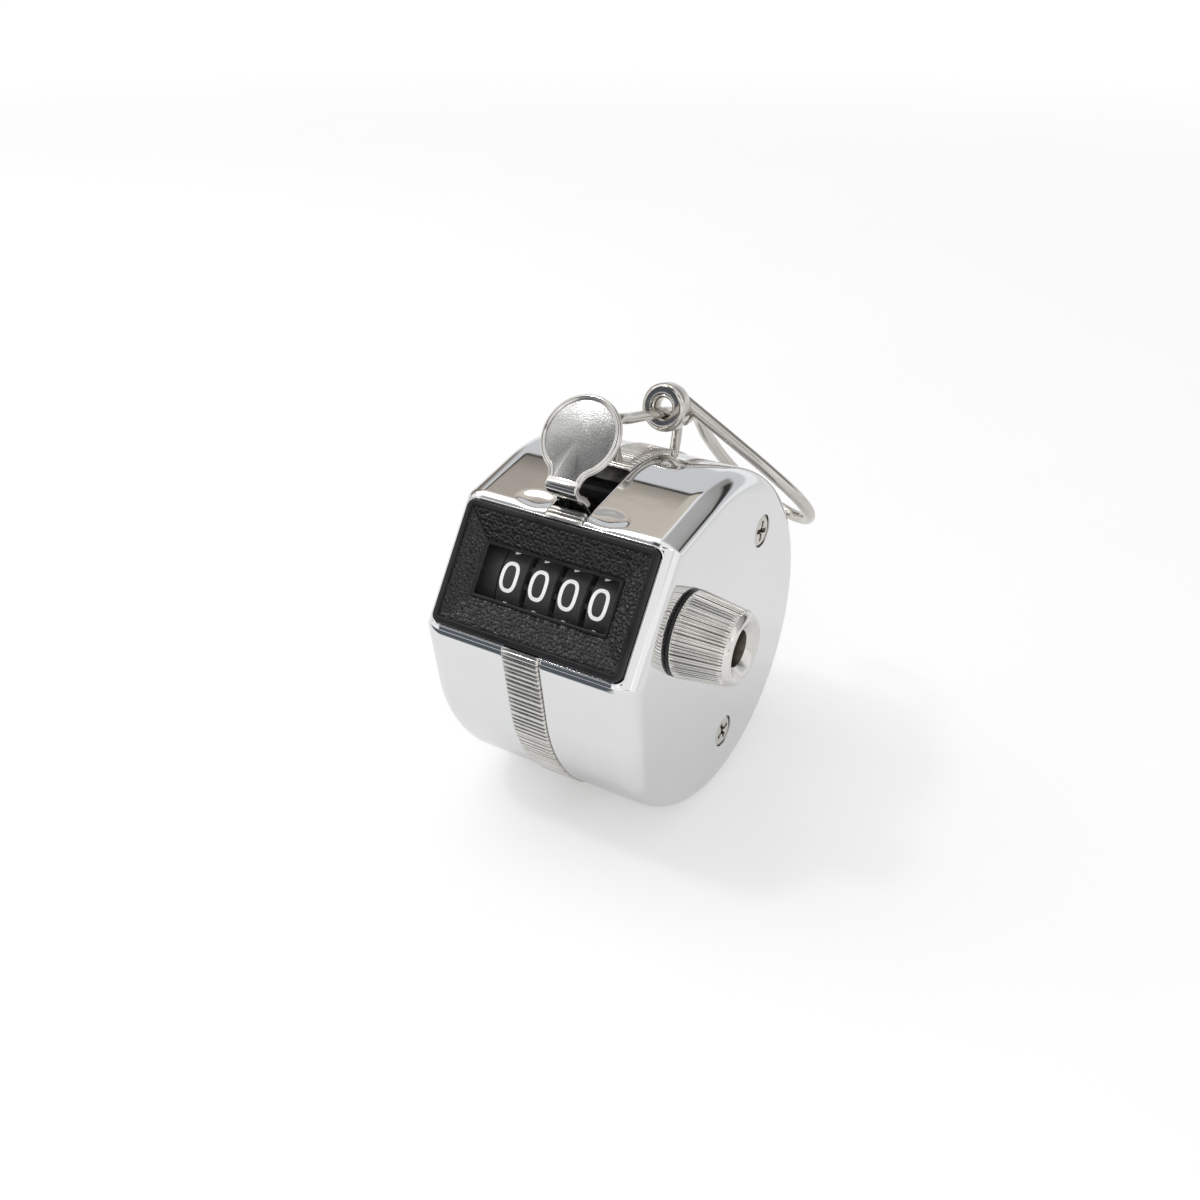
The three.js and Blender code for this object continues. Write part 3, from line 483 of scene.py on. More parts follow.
def lip_loops():
    """Loops round the opening; each sinks with the case's skin, c (1 - sqrt(1 - ((|x| - a) / b)^2)) at x."""
    grid = rectangles(BEZEL_WIDTH, BEZEL_HEIGHT, LIP)
    past = np.clip((np.abs(grid[..., 0]) - CASE_MIDDLE + RIM_AXIAL) / RIM_AXIAL, 0, 1)
    grid[..., 1] += RIM_RADIAL * (1 - np.sqrt(1 - past**2))
    return grid


window_lip = make_piece("window_lip", [closed_block(lip_loops())], "case")

# %% [markdown]
# The bezel is moulded in one piece: a smooth border that stands proud, four grained facets that slope in,
# and a thin lip round the window. The leather grain is real relief: pebbles that fade out at the mitres and
# at the facets' edges. The grained facets get a material number of their own.

# %% Bezel
WINDOW_WIDTH = 18.5
WINDOW_HEIGHT = 6.2
GRAIN_ROWS = 30
PEBBLE = 0.46
PEBBLE_HEIGHT = 0.13
BORDER = [
    (0, 1.0, -1.8), (0, 1.0, 0.2), (-0.06, 1.0, 0.36), (-0.2, 0.95, 0.46), (-0.4, 0.9, 0.5), (-1.35, 0.6, 0.5),
    (-1.5, 0.5, 0.46), (-1.58, 0.45, 0.36), (-1.62, 0.4, 0.3), (-1.75, 0.4, 0.3),
]
WINDOW_EDGE = [
    (0.95, 0.3, -0.72), (0.85, 0.3, -0.6), (0.75, 0.25, -0.55), (0.3, 0.2, -0.55), (0.1, 0.15, -0.6),
    (0, 0.12, -0.72), (0, 0.1, -0.86), (1.2, 0.2, -0.86), (1.2, 0.2, -1.8),
]


def scattered(column, row, a, b):
    """A place from 0.12 to 0.88 that looks random: the fraction of a large sine."""
    return 0.12 + 0.76 * np.modf(np.abs(np.sin(column * a + row * b) * 437.585))[0]


def pebbles(x, z):
    """Domes round scattered points: h = 1 - smoothstep(d / pitch), with d the distance to the nearest one.
    Each square of the pitch holds one point."""
    nearest = np.full(x.shape, np.inf)
    for i, j in np.ndindex(3, 3):
        column, row = np.floor(x / PEBBLE) + i - 1, np.floor(z / PEBBLE) + j - 1
        to_x = (column + scattered(column, row, 127.1, 311.7)) * PEBBLE - x
        to_z = (row + scattered(column, row, 269.5, 183.3)) * PEBBLE - z
        nearest = np.minimum(nearest, np.hypot(to_x, to_z))
    return 1 - smoothstep(nearest / PEBBLE, 0.12, 0.62)


def bezel_loops():
    """Rounded rectangles from the back of the outer wall, over the front and back down the window."""
    border = rectangles(BEZEL_WIDTH, BEZEL_HEIGHT, BORDER)
    window = rectangles(WINDOW_WIDTH, WINDOW_HEIGHT, WINDOW_EDGE)
    share = np.linspace(0, 1, GRAIN_ROWS + 1)[1:-1, None, None]
    facets = border[-1] * (1 - share) + window[0] * share
    x, z = np.abs(facets[..., 0]) - WINDOW_WIDTH / 2, np.abs(facets[..., 2]) - WINDOW_HEIGHT / 2
    run_x, run_z = (BEZEL_WIDTH - WINDOW_WIDTH) / 2, (BEZEL_HEIGHT - WINDOW_HEIGHT) / 2
    from_mitre = np.abs(x * run_z - z * run_x) / math.hypot(run_x, run_z)
    from_edge = np.minimum(share, 1 - share)[..., 0]
    fade = smoothstep(from_mitre, 0.04, 0.22) * smoothstep(from_edge, 0.0, 0.06)
    facets[..., 1] -= PEBBLE_HEIGHT * fade * pebbles(facets[..., 0], facets[..., 2])
    return np.concatenate([border, facets, window])


bezel_points, bezel_faces, _ = closed_block(bezel_loops())
bezel_row = np.array(bezel_faces)[:, 0] // bezel_points.shape[1] - len(BORDER) + 1
on_facet = ((bezel_row >= 0) & (bezel_row < GRAIN_ROWS)).astype(int)
bezel = make_piece(
    "bezel_frame", [(bezel_points, bezel_faces, on_facet)], "case", ["bezel"], sharp_degrees=24
)

# %% [markdown]
# The figures on the number wheels are strokes of constant width along a path on a flat card, one unit high.
# The card is then rolled round the rim.

# %% Figures
WHEEL_RADIUS = 7.8
FIGURE_HEIGHT = 3.9
FIGURE_WIDTH = 2.5
FIGURE_SHIFT = -0.35
STROKE = 0.5
STROKE_SECTION = [(1, -0.04), (0.9, 0.035), (-0.9, 0.035), (-1, -0.04)]  # share of the half width, above the rim


def arc(cx, cy, rx, ry, start, end, count=24):
    """Points (cx + rx cos a, cy + ry sin a), angles in degrees."""
    angle = np.radians(np.linspace(start, end, count))
    return np.stack([cx + rx * np.cos(angle), cy + ry * np.sin(angle)], axis=-1)


def oval(cx, cy, rx, ry, power=2.6, count=56):
    """A rounded oval: |x/rx|^p + |y/ry|^p = 1."""
    angle = np.linspace(0, 2 * np.pi, count)
    around = np.stack([np.cos(angle), np.sin(angle)], axis=-1)
    return np.array([cx, cy]) + np.array([rx, ry]) * np.sign(around) * np.abs(around) ** (2 / power)


def line(*points):
    """A straight path from point to point, with twelve steps a stretch."""
    points = np.array(points, float)
    t = np.linspace(0, 1, 13)[:, None]
    return np.concatenate([a + (b - a) * t for a, b in zip(points[:-1], points[1:])])


FIGURES = {
    0: [oval(0, 0, 0.5, 0.5)],
    1: [line((-0.28, 0.28), (0.06, 0.5), (0.06, -0.5))],
    2: [np.concatenate([arc(0, 0.2, 0.46, 0.3, 170, -30), line((0.4, 0.05), (-0.46, -0.5), (0.48, -0.5))])],
    3: [arc(0, 0.25, 0.42, 0.25, 160, -90), arc(0, -0.25, 0.48, 0.25, 90, -160)],
    4: [line((0.2, -0.5), (0.2, 0.5), (-0.5, -0.2), (0.5, -0.2))],
    5: [np.concatenate([line((0.42, 0.5), (-0.36, 0.5), (-0.42, 0.05)), arc(0, -0.19, 0.48, 0.31, 130, -150)])],
    6: [oval(0, -0.2, 0.46, 0.3, 2.2), arc(0.3, -0.15, 0.76, 0.66, 100, 175)],
    7: [line((-0.48, 0.5), (0.46, 0.5), (-0.1, -0.5))],
    8: [oval(0, 0.26, 0.4, 0.24, 2.2), oval(0, -0.25, 0.47, 0.25, 2.2)],
    9: [oval(0, 0.2, 0.46, 0.3, 2.2), arc(-0.3, 0.15, 0.76, 0.66, -80, -5)],
}


def stroke_block(path, turn, place):
    """The path's two offsets by half a stroke, raised on the rim: angle = turn + height / radius."""
    centre = path * np.array([FIGURE_WIDTH - STROKE, FIGURE_HEIGHT - STROKE])
    centre = centre[np.concatenate([[True], np.hypot(*np.diff(centre, axis=0).T) > 1e-4])]
    closed = np.hypot(*(centre[0] - centre[-1])) < 1e-3
    step = np.gradient(centre, axis=0)
    if closed:
        step[0] = step[-1] = centre[1] - centre[-2]
    step = unit(step)
    if not closed:
        centre[0] -= step[0] * STROKE * 0.3
        centre[-1] += step[-1] * STROKE * 0.3
    share, rise = np.array(STROKE_SECTION).T
    card = centre[:, None] + share[:, None] * to_left(step)[:, None] * STROKE / 2
    angle = math.pi - turn - card[..., 1] / WHEEL_RADIUS
    grid = around_x(card[..., 0] + FIGURE_SHIFT, WHEEL_RADIUS + rise, angle) + place
    faces = grid_faces(grid, wrap_columns=True).tolist() if closed else capped_faces(grid)
    return to_row(grid), faces, 1


print("figures", *FIGURES)

# %% [markdown]
# A number wheel is a turned drum with ten figures on its rim. All but the units wheel also have a gear on
# their right side, which the carry pinion meshes with.

# %% Number wheels
WHEELS = ["thousands", "hundreds", "tens", "units"]
FIRST_WHEEL, WHEEL_PITCH = -5.5, 4.24
WHEEL_HALF, WEB_HALF = 1.75, 0.55
WHEEL_BORE, HUB_RADIUS, DRUM_INNER = 1.6, 2.7, 6.5
DRUM = [
    (WHEEL_HALF - 0.16, WHEEL_RADIUS), (WHEEL_HALF - 0.05, WHEEL_RADIUS - 0.05), (WHEEL_HALF, WHEEL_RADIUS - 0.16),
    (WHEEL_HALF, DRUM_INNER), (WEB_HALF, DRUM_INNER), (WEB_HALF, HUB_RADIUS), (WHEEL_HALF, HUB_RADIUS),
    (WHEEL_HALF, WHEEL_BORE),
]
TEETH, TOOTH_ROOT, TOOTH_TIP, GEAR_BORE = 20, 6.3, 7.2, 3.3
GEAR_START, GEAR_END = WHEEL_HALF - 0.02, WHEEL_HALF + 0.45
TOOTH_CORNERS = [-0.2, -0.13, 0.13, 0.2]  # shares of the teeth's pitch
GEAR_TURN = math.radians(-40) + math.pi / TEETH


def gear_block(place):
    """Two toothed loops, whose radius goes root, tip, tip, root over each tooth, between two round ones."""
    turn = (np.arange(TEETH)[:, None] + np.array(TOOTH_CORNERS)).reshape(-1) * 2 * np.pi / TEETH + GEAR_TURN
    teeth = np.tile([TOOTH_ROOT, TOOTH_TIP, TOOTH_TIP, TOOTH_ROOT], TEETH)
    bore = np.full(len(turn), GEAR_BORE)
    x = np.array([GEAR_START, GEAR_START, GEAR_END, GEAR_END])[:, None]
    return closed_block(around_x(x, np.stack([bore, teeth, teeth, bore]), turn) + place)


def number_wheel(k, name):
    """A drum with rounded edges, open at both sides down to a web and a hub."""
    place = np.array([FIRST_WHEEL + k * WHEEL_PITCH, -AXLE_DISTANCE, 0.0])
    blocks = [turned_block(DRUM, 120, place)]
    for figure, strokes in FIGURES.items():
        blocks += [stroke_block(path, -figure * math.radians(36), place) for path in strokes]
    if name != "units":
        blocks.append(gear_block(place))
    return make_piece(f"{name}_drum", blocks, name, [f"{name}_wheel"], sharp_degrees=35)


drums = [number_wheel(k, name) for k, name in enumerate(WHEELS)]

# %% [markdown]
# The thumb lever is stamped from strip: a round pad with a turned-over rim, shoulders that run in to a neck,
# and a curl that takes the neck back through the slot to its hub. The pad is its outline drawn in ring by
# ring, on both faces, each closed by a fan about its middle.

# %% The lever's pad
LEVER_PIVOT = np.array([-18.0, 8.2])
LEVER_THICKNESS = 0.9
PAD_CENTRE = np.array([-25.0, 18.0])
PAD_RADIUS = 5.2
PAD_TILT = math.radians(-5.2)
pad_up = np.array([math.sin(-PAD_TILT), math.cos(PAD_TILT)])
pad_out = np.array([-pad_up[1], pad_up[0]])
NECK_HALF = 2.25
NECK_DROP = PAD_RADIUS + 0.7
RIM_RINGS = [  # drawn in, sunk
    (0.0, 0.45), (0.03, 0.25), (0.12, 0.08), (0.28, 0.0), (0.45, 0.03), (0.56, 0.14), (0.66, 0.2), (0.8, 0.19),
]
BACK_RINGS = [(0.0, 0.45), (0.05, 0.7), (0.18, 0.86), (0.4, LEVER_THICKNESS)]


def pad_outline():
    """A circle, and below it two shoulders that ease into the neck: (1 - t)^2 a + 2 t (1 - t) b + t^2 c."""
    meet = math.asin((NECK_HALF + 0.55) / PAD_RADIUS)
    angle = np.linspace(-np.pi / 2 + meet, 1.5 * np.pi - meet, 160)
    circle = PAD_RADIUS * np.stack([np.cos(angle), np.sin(angle)], axis=-1)
    t = np.linspace(0, 1, 14)[1:, None]
    corner = np.array([-NECK_HALF, -PAD_RADIUS * math.cos(meet) - 0.45])
    end = np.array([-NECK_HALF, -NECK_DROP])
    left = (1 - t) ** 2 * circle[-1] + 2 * t * (1 - t) * corner + t**2 * end
    return np.concatenate([(left * [-1, 1])[::-1], circle, left])


def place_pad(flat, depth):
    """Card points (across, up) on the pad's plane, sunk by the depth."""
    return np.column_stack([flat[:, 0], PAD_CENTRE + flat[:, 1:] * pad_up - depth * pad_out])


def pad_blocks():
    """Rings of the outline, each moved in along its normal, then scaled to the middle."""
    outline = pad_outline()
    step = np.roll(outline, -1, axis=0) - np.roll(outline, 1, axis=0)
    step[0], step[-1] = outline[1] - outline[0], outline[-1] - outline[-2]
    inward = to_left(unit(step))
    front = [(outline + inward * inset, depth) for inset, depth in RIM_RINGS]
    core = front[-1][0]
    front += [(core * share, 0.19 - 0.22 * (1 - share**2)) for share in np.linspace(0.86, 0.08, 9)]
    back = [(outline + inward * inset, depth) for inset, depth in BACK_RINGS]
    back += [(back[-1][0] * share, LEVER_THICKNESS) for share in (0.6, 0.1)]
    blocks = []
    for rings, first_dished in [(front, len(RIM_RINGS) - 2), (back, len(back) + 1)]:
        grid = np.stack([place_pad(flat, depth) for flat, depth in rings])
        rows, count = grid.shape[:2]
        points = np.concatenate([grid.reshape(-1, 3), grid[-1].mean(axis=0)[None]])
        faces = grid_faces(grid, wrap_columns=True).tolist() + fan_faces((rows - 1) * count, count, rows * count)
        blocks.append((to_row(points), faces, (np.arange(len(faces)) >= first_dished * count).astype(int)))
    return blocks


print("the pad's outline has", len(pad_outline()), "points")

# %% [markdown]
# The neck is a bar with rounded edges, carried along a smooth curve from the pad through the slot, and the
# hub is a turned sleeve. The curve passes through its points without a bulge where they lie close together.

# %% The lever's neck and hub
LEVER_WIDTH = 4.3
NECK_ROUND = 0.22
HUB_BORE, HUB_OUTER, HUB_BEVEL = 0.95, 1.5, 0.1


def smooth_path(points, steps):
    """Cubic pieces through the points, whose knots lie the square root of the chord apart: with t from 0 to 1,
    (2 t^3 - 3 t^2 + 1) a + (t^3 - 2 t^2 + t) m + (3 t^2 - 2 t^3) b + (t^3 - t^2) n, from the slopes m and n."""
    points = np.array(points, float)
    padded = np.concatenate([[2 * points[0] - points[1]], points, [2 * points[-1] - points[-2]]])
    where = np.linspace(0, len(points) - 1, steps + 1)
    k = np.minimum(where.astype(int), len(points) - 2)
    t = (where - k)[:, None]
    p0, p1, p2, p3 = (padded[k + i] for i in range(4))
    d0, d1, d2 = (np.sqrt(np.linalg.norm(b - a, axis=1, keepdims=True)) for a, b in ((p0, p1), (p1, p2), (p2, p3)))
    m = ((p1 - p0) / d0 - (p2 - p0) / (d0 + d1) + (p2 - p1) / d1) * d1
    n = ((p2 - p1) / d1 - (p3 - p1) / (d1 + d2) + (p3 - p2) / d2) * d1
    from_first = (2 * t**3 - 3 * t**2 + 1) * p1 + (t**3 - 2 * t**2 + t) * m
    return from_first + (3 * t**2 - 2 * t**3) * p2 + (t**3 - t**2) * n


def neck_block():
    """The bar's section lies across the curl: x = u and (y, z) = path + v times the path's normal."""
    foot = PAD_CENTRE - (NECK_DROP - 0.4) * pad_up
    curl = [foot - LEVER_THICKNESS / 2 * pad_out, foot + [0.25, -0.85], foot + [1.2, -1.45], foot + [3.0, -1.5]]
    path = smooth_path(curl + [LEVER_PIVOT + [-1.2, 1.6], LEVER_PIVOT + [0, 0.8]], 60)
    normal = to_left(unit(np.gradient(path, axis=0)))
    section = np.concatenate(corner_arcs(LEVER_WIDTH, LEVER_THICKNESS, NECK_ROUND, 5))
    across = np.broadcast_to(section[:, :1], (len(path), len(section), 1))
    yz = path[:, None] + section[:, 1:] * normal[:, None]
    grid = np.concatenate([across, yz], axis=-1)
    return to_row(grid), capped_faces(grid), 0


half = LEVER_WIDTH / 2
hub_profile = [(half - HUB_BEVEL, HUB_OUTER), (half, HUB_OUTER - HUB_BEVEL), (half, HUB_BORE)]
lever_blocks = pad_blocks() + [neck_block(), turned_block(hub_profile, 40, np.array([0, *LEVER_PIVOT]))]
lever = make_piece("lever_stamping", lever_blocks, "lever", ["thumb_lever"], sharp_degrees=50)

# %% [markdown]
# The reset knob is turned, then knurled with fine straight lines that are never quite even, so each line's
# depth varies a little. The end is dished to a plain bore. A thin black washer lies between it and the case.
# Bore and knurled valleys have material numbers of their own, whose darker colours are painted shade.

# %% Reset knob
WASHER = 0.42
WASHER_START = CASE_MIDDLE + 0.03
KNOB_START = CASE_MIDDLE + 0.46
KNOB_LENGTH = 7.24
KNOB_BASE = 5.5
KNOB_TIP = 4.5
KNURLS = 76
KNURL_DEPTH = 0.17
VALLEY_ABOVE = 0.8
BORE_NUMBER, VALLEY_NUMBER = 1, 2
AXLE_PLACE = np.array([0, -AXLE_DISTANCE, 0])


def reset_knob():
    """Radius = cone - depth |cos(n a / 2)|^3 (1 + small waves), on the knurled stretch alone. Each row is a
    place, a radius and a share of the knurls' depth."""
    angle = full_turn(KNURLS * 8)
    wave = np.abs(np.cos(KNURLS * angle / 2)) ** 3
    uneven = 1 + 0.45 * np.sin(7 * angle + 1) * np.sin(23 * angle) + 0.3 * np.sin(41 * angle)
    foot = [(0, 3.0, 0), (0, KNOB_BASE - 0.16, 0), (0.04, KNOB_BASE - 0.06, 0.5), (0.12, KNOB_BASE, 1)]
    cone = [(s * KNOB_LENGTH, KNOB_BASE + s * (KNOB_TIP - KNOB_BASE), 1) for s in np.linspace(0.04, 0.86, 14)]
    tip = [(0.9, 0.08, 0.8), (0.8, 0.02, 0.1), (0.72, -0.02, 0), (0.45, -0.12, 0), (0.2, -0.3, 0), (0.06, -0.5, 0),
           (0, -0.68, 0), (0.03, -0.78, 0), (0.3, -1.3, 0)]
    tip = [(KNOB_LENGTH - back, KNOB_TIP + more, knurl) for back, more, knurl in tip]
    bore = [(1.0, 2.28), (1.08, 2.2), (3.4, 2.2), (3.4, 1.6), (KNOB_LENGTH, 1.6)]
    bore = [(KNOB_LENGTH - back, radius, 0) for back, radius in bore]
    x, radius, knurl = np.array(foot + cone + tip + bore).T[..., None]
    grid = around_x(KNOB_START + x, radius - KNURL_DEPTH * knurl * wave * uneven, angle)
    points, faces, _ = closed_block(grid + AXLE_PLACE)
    row, spoke = np.divmod(np.array(faces)[:, 0], len(angle))
    in_cone = (row >= len(foot) - 1) & (row < len(foot + cone))
    # the bore and the knurled valleys get darker materials: painted shade
    numbers = np.where(row >= len(foot + cone + tip), BORE_NUMBER, 0)
    return points, faces, np.where(in_cone & (wave[spoke] > VALLEY_ABOVE), VALLEY_NUMBER, numbers)


half, edge = WASHER / 2, KNOB_BASE - 0.04
washer_profile = [(half - 0.1, edge), (half - 0.03, edge - 0.02), (half, edge - 0.08), (half, 2.0)]
washer_block = turned_block(washer_profile, 96, AXLE_PLACE + [WASHER_START + half, 0, 0])
knob = make_piece("knurled_knob", [reset_knob()], "axle", ["reset_knob"])
washer = make_piece("knob_washer", [washer_block], "axle")

# %% [markdown]
# A cross-headed screw is a low dome with a cross cut into it. Seen as a height over the disc, the cross is
# where a point is close to either arm, so one polar grid holds head and cross. What lies deep in the cross
# has a material number of its own, which carries a painted shade.

# %% Screws
SCREW_RADIUS = 2.05
SCREW_FACE = CASE_MIDDLE - 0.12
SCREW_RINGS, SCREW_SPOKES = 34, 96
CROSS_DEPTH = 0.5
SHANK = np.array([(1.0, 0.15), (0.46, 0.95), (0.44, 4.0), (0.05, 4.15)])  # share of the radius, depth


def screw(name, side, centre, node, turn):
    """Height = dome - depth where |u| or |v| is under half the cross width, with soft edges."""
    radius = np.linspace(0, 1, SCREW_RINGS)[1:, None] * SCREW_RADIUS
    angle = full_turn(SCREW_SPOKES)
    narrow = np.minimum(np.abs(radius * np.cos(angle - turn)), np.abs(radius * np.sin(angle - turn)))
    arms = (1 - smoothstep(narrow, 0.18, 0.34)) * (1 - smoothstep(radius, 1.2, 1.4))
    middle = 0.9 * (1 - smoothstep(radius, 0.3, 0.7))
    dome = 0.12 * (1 - (radius / SCREW_RADIUS) ** 2) - 0.1 * smoothstep(radius, 1.8, SCREW_RADIUS)
    height = dome - CROSS_DEPTH * np.maximum(arms, middle)
    shank = around_x(SCREW_FACE - SHANK[:, 1:], SCREW_RADIUS * SHANK[:, :1], angle)
    grid = np.concatenate([around_x(SCREW_FACE + height, radius, angle), shank]) + [0, *centre]
    points = np.concatenate([grid.reshape(-1, 3), [[CASE_MIDDLE - 0.45, *centre]]]) * [side, 1, 1]
    faces, last = grid_faces(grid, wrap_columns=True), (len(grid) - 1) * SCREW_SPOKES
    # faces deep in the cross get the dark material: painted shade
    sunk = np.concatenate([height < -0.12, np.zeros((len(SHANK), SCREW_SPOKES), bool)]).reshape(-1).astype(int)
    numbers = np.concatenate([sunk[faces].max(axis=1), np.ones(SCREW_SPOKES, int), [0]])
    faces = faces.tolist() + fan_faces(0, SCREW_SPOKES, last + SCREW_SPOKES)
    faces.append(list(range(last, last + SCREW_SPOKES)))
    return make_piece(name, [(to_row(points), faces, numbers)], "case", [node], sharp_degrees=50)


screws = [
    screw("screw_right_top", 1, UPPER_SCREW, "right_screw_upper", 0.35),
    screw("screw_right_low", 1, LOWER_SCREW, "right_screw_lower", 1.0),
    screw("screw_left_top", -1, UPPER_SCREW, "left_screw_upper", 0.7),
    screw("screw_left_low", -1, LOWER_SCREW, "left_screw_lower", 0.15),
]

# %% [markdown]
# The hoop and the ring are bent wire. A round section is carried along a smooth path, turned from point to
# point by no more than the path itself turns, so the wire doesn't twist. The ring's eye is a rounded sleeve.

# %% Hoop and finger ring
HOOP_X = -0.6
HOOP_WIRE = 0.7
HOOP_PATH = [
    (-0.3, 20.9), (-0.9, 23.4), (-1.6, 26.0), (-0.6, 27.5), (2.6, 26.83), (7.0, 25.77), (11.9, 24.58),
    (14.0, 23.6), (15.0, 21.5), (14.5, 18.6), (13.7, 16.4),
]
EYE_CENTRE = np.array([HOOP_X, 11.9, 25.25])
EYE_AXIS = unit(np.array([0, 0.972, -0.236]))
EYE_LENGTH, EYE_HOLE, EYE_OUTER, EYE_ROUND = 2.6, 1.25, 3.2, 0.7
RING_WIRE = 0.85
RING_ORIGIN = np.array([2.9, 14.028, 24.614])
RING_ALONG = np.array([0.712, 0.3162, -0.627])
RING_ACROSS = np.array([-0.646, 0.6449, -0.4084])
RING_PATH = [
    (-3.4, 0), (0, 0), (7, 0), (13, 0.2), (18, 1.2), (21.6, 3.8), (23.3, 8), (22.2, 12.2), (18, 14.6),
    (12, 13.6), (5, 8.0), (0.2, 2.2),
]
RING_FOOT = np.array([1.55, 12.6, 23.7])


def wire_block(points, radius, steps):
    """Centre + r (cos a U + sin a V): U and V are carried along by the smallest turn at each step."""
    path = smooth_path(points, steps)
    step = unit(np.gradient(path, axis=0))
    u, frames = np.cross(step[0], [0.3, 0.2, 0.93]), []
    for t in step:
        u = unit(u - t * (u @ t))
        frames.append((u, np.cross(t, u)))
    u, v = np.array(frames).transpose(1, 0, 2)[:, :, None]
    angle = full_turn(24)[:, None]
    grid = path[:, None] + radius * (np.cos(angle) * u + np.sin(angle) * v)
    return upright_to_row(grid), capped_faces(grid), 0


def eye_block():
    """A rounded sleeve turned about the hoop's rod."""
    profile = np.concatenate(corner_arcs(EYE_LENGTH, EYE_OUTER - EYE_HOLE, EYE_ROUND, 8))
    along, radius = (profile + [0, (EYE_OUTER + EYE_HOLE) / 2]).T[..., None]
    side = np.array([1.0, 0, 0])
    grid = around_x(along, radius, full_turn(64)) @ np.stack([EYE_AXIS, side, np.cross(EYE_AXIS, side)]) + EYE_CENTRE
    return upright_to_row(grid), *closed_block(grid)[1:]


hoop_block = wire_block([(HOOP_X, y, z) for y, z in HOOP_PATH], HOOP_WIRE, 140)
hoop = make_piece("wire_hoop", [hoop_block], "case", ["ring_hoop"])
ring_points = [RING_ORIGIN + s * RING_ALONG + r * RING_ACROSS for s, r in RING_PATH] + [RING_FOOT]
ring_blocks = [wire_block(ring_points, RING_WIRE, 220), eye_block()]
ring = make_piece("ring_wire", ring_blocks, "ring", ["finger_ring"])

# %% [markdown]
# A material is a small tree of nodes. These helpers add one node each and give back its output. What feeds
# an input may be another node's output or a plain number or colour. The patterns read object coordinates, so
# their sizes are real ones: a scale of 1000 is one cell a millimetre.

# %% Nodes
def fill(tree, node, inputs):
    """Links each input to the socket it is given, or sets it to the number or colour it is given."""
    for key, value in inputs.items():
        if isinstance(value, bpy.types.NodeSocket):
            tree.links.new(value, node.inputs[key])
        else:
            node.inputs[key].default_value = (*value, 1) if node.inputs[key].type == "RGBA" else value


def add_node(tree, kind, inputs, output, **settings):
    """One more node with its settings and inputs; the result is the named output."""
    node = tree.nodes.new("ShaderNode" + kind)
    for key, value in settings.items():
        setattr(node, key, value)
    fill(tree, node, inputs)
    return node.outputs[output]


def start_material(name):
    """A new material with its node tree, its shader and its object coordinates."""
    material = bpy.data.materials.new(name)
    material.use_nodes = True
    tree = material.node_tree
    return material, tree, tree.nodes["Principled BSDF"], add_node(tree, "TexCoord", {}, "Object")


def noise(tree, vector, scale, detail, stretch=(1, 1, 1)):
    """Noise whose cells are 1 / scale metres, drawn out by the stretch."""
    stretched = add_node(tree, "Mapping", {"Vector": vector, "Scale": stretch}, "Vector")
    return add_node(tree, "TexNoise", {"Vector": stretched, "Scale": scale, "Detail": detail}, "Fac")


def ranged(tree, value, low, high, from_low=0.3, from_high=0.7):
    """The value, mapped from its own range to another."""
    ends = {"From Min": from_low, "From Max": from_high, "To Min": low, "To Max": high}
    return add_node(tree, "MapRange", {"Value": value, **ends}, "Result")


def mixed(tree, amount, first, second):
    """A colour between two, by the amount."""
    return add_node(tree, "Mix", {"Factor": amount, "A": first, "B": second}, "Result", data_type="RGBA")


def math_node(tree, operation, *values):
    """One maths node on one or two values."""
    return add_node(tree, "Math", dict(enumerate(values)), "Value", operation=operation)


def product(tree, value, *factors):
    """The value times each factor in turn."""
    for factor in factors:
        value = math_node(tree, "MULTIPLY", value, factor)
    return value


def bump(tree, height, strength, distance):
    """The normal, tipped by the slope of the height."""
    return add_node(tree, "Bump", {"Height": height, "Strength": strength, "Distance": distance}, "Normal")


# %% [markdown]
# Metals first. Chrome and nickel are the same shader with another colour and another roughness: cloudy noise
# moves the colour a little, and long fine scratches move the roughness and lift the surface.

# %% Metals
def plated(name, dark, light, rough, cloud=60, scratch=0.03, brush=(1, 1, 1), grain=900):
    """Metal with a cloudy colour and fine scratches, which the brush draws out."""
    material, tree, shader, place = start_material(name)
    clouds = ranged(tree, noise(tree, place, cloud, 5), 0, 1)
    scratches = noise(tree, place, grain, 3, brush)
    fill(tree, shader, {
        "Base Color": mixed(tree, clouds, dark, light), "Metallic": 1, "Roughness": ranged(tree, scratches, *rough),
        "Normal": bump(tree, scratches, scratch, 0.00005),
    })
    return material


chrome = plated("mirror_chrome", (0.79, 0.795, 0.80), (0.83, 0.83, 0.835), (0.03, 0.075), 45, 0.015, (0.3, 1, 1))
nickel = plated("bright_nickel", (0.56, 0.535, 0.50), (0.68, 0.655, 0.62), (0.08, 0.18), 120, 0.05, (0.2, 1, 1))
band_nickel = plated("band_nickel", (0.62, 0.60, 0.57), (0.78, 0.76, 0.73), (0.16, 0.3), 300, 0.1, (0.15, 1, 1))
pad_nickel = plated("pad_nickel", (0.43, 0.425, 0.415), (0.56, 0.555, 0.545), (0.18, 0.3), 500, 0.3, grain=7000)
rim_nickel = plated("rim_nickel", (0.62, 0.60, 0.57), (0.72, 0.70, 0.67), (0.06, 0.14), 200, 0.03)
# painted shade: the darker colour of the knob's knurled valleys
knurl_painted_shade = plated("knurl_painted_shade", (0.16, 0.15, 0.135), (0.28, 0.265, 0.24), (0.3, 0.5), 400, 0.1)
# painted shade: the darker colour of the band's grooves
band_groove_painted_shade = plated("band_groove_painted_shade", (0.20, 0.19, 0.17), (0.42, 0.40, 0.37), (0.25, 0.45), 900, 0.1)
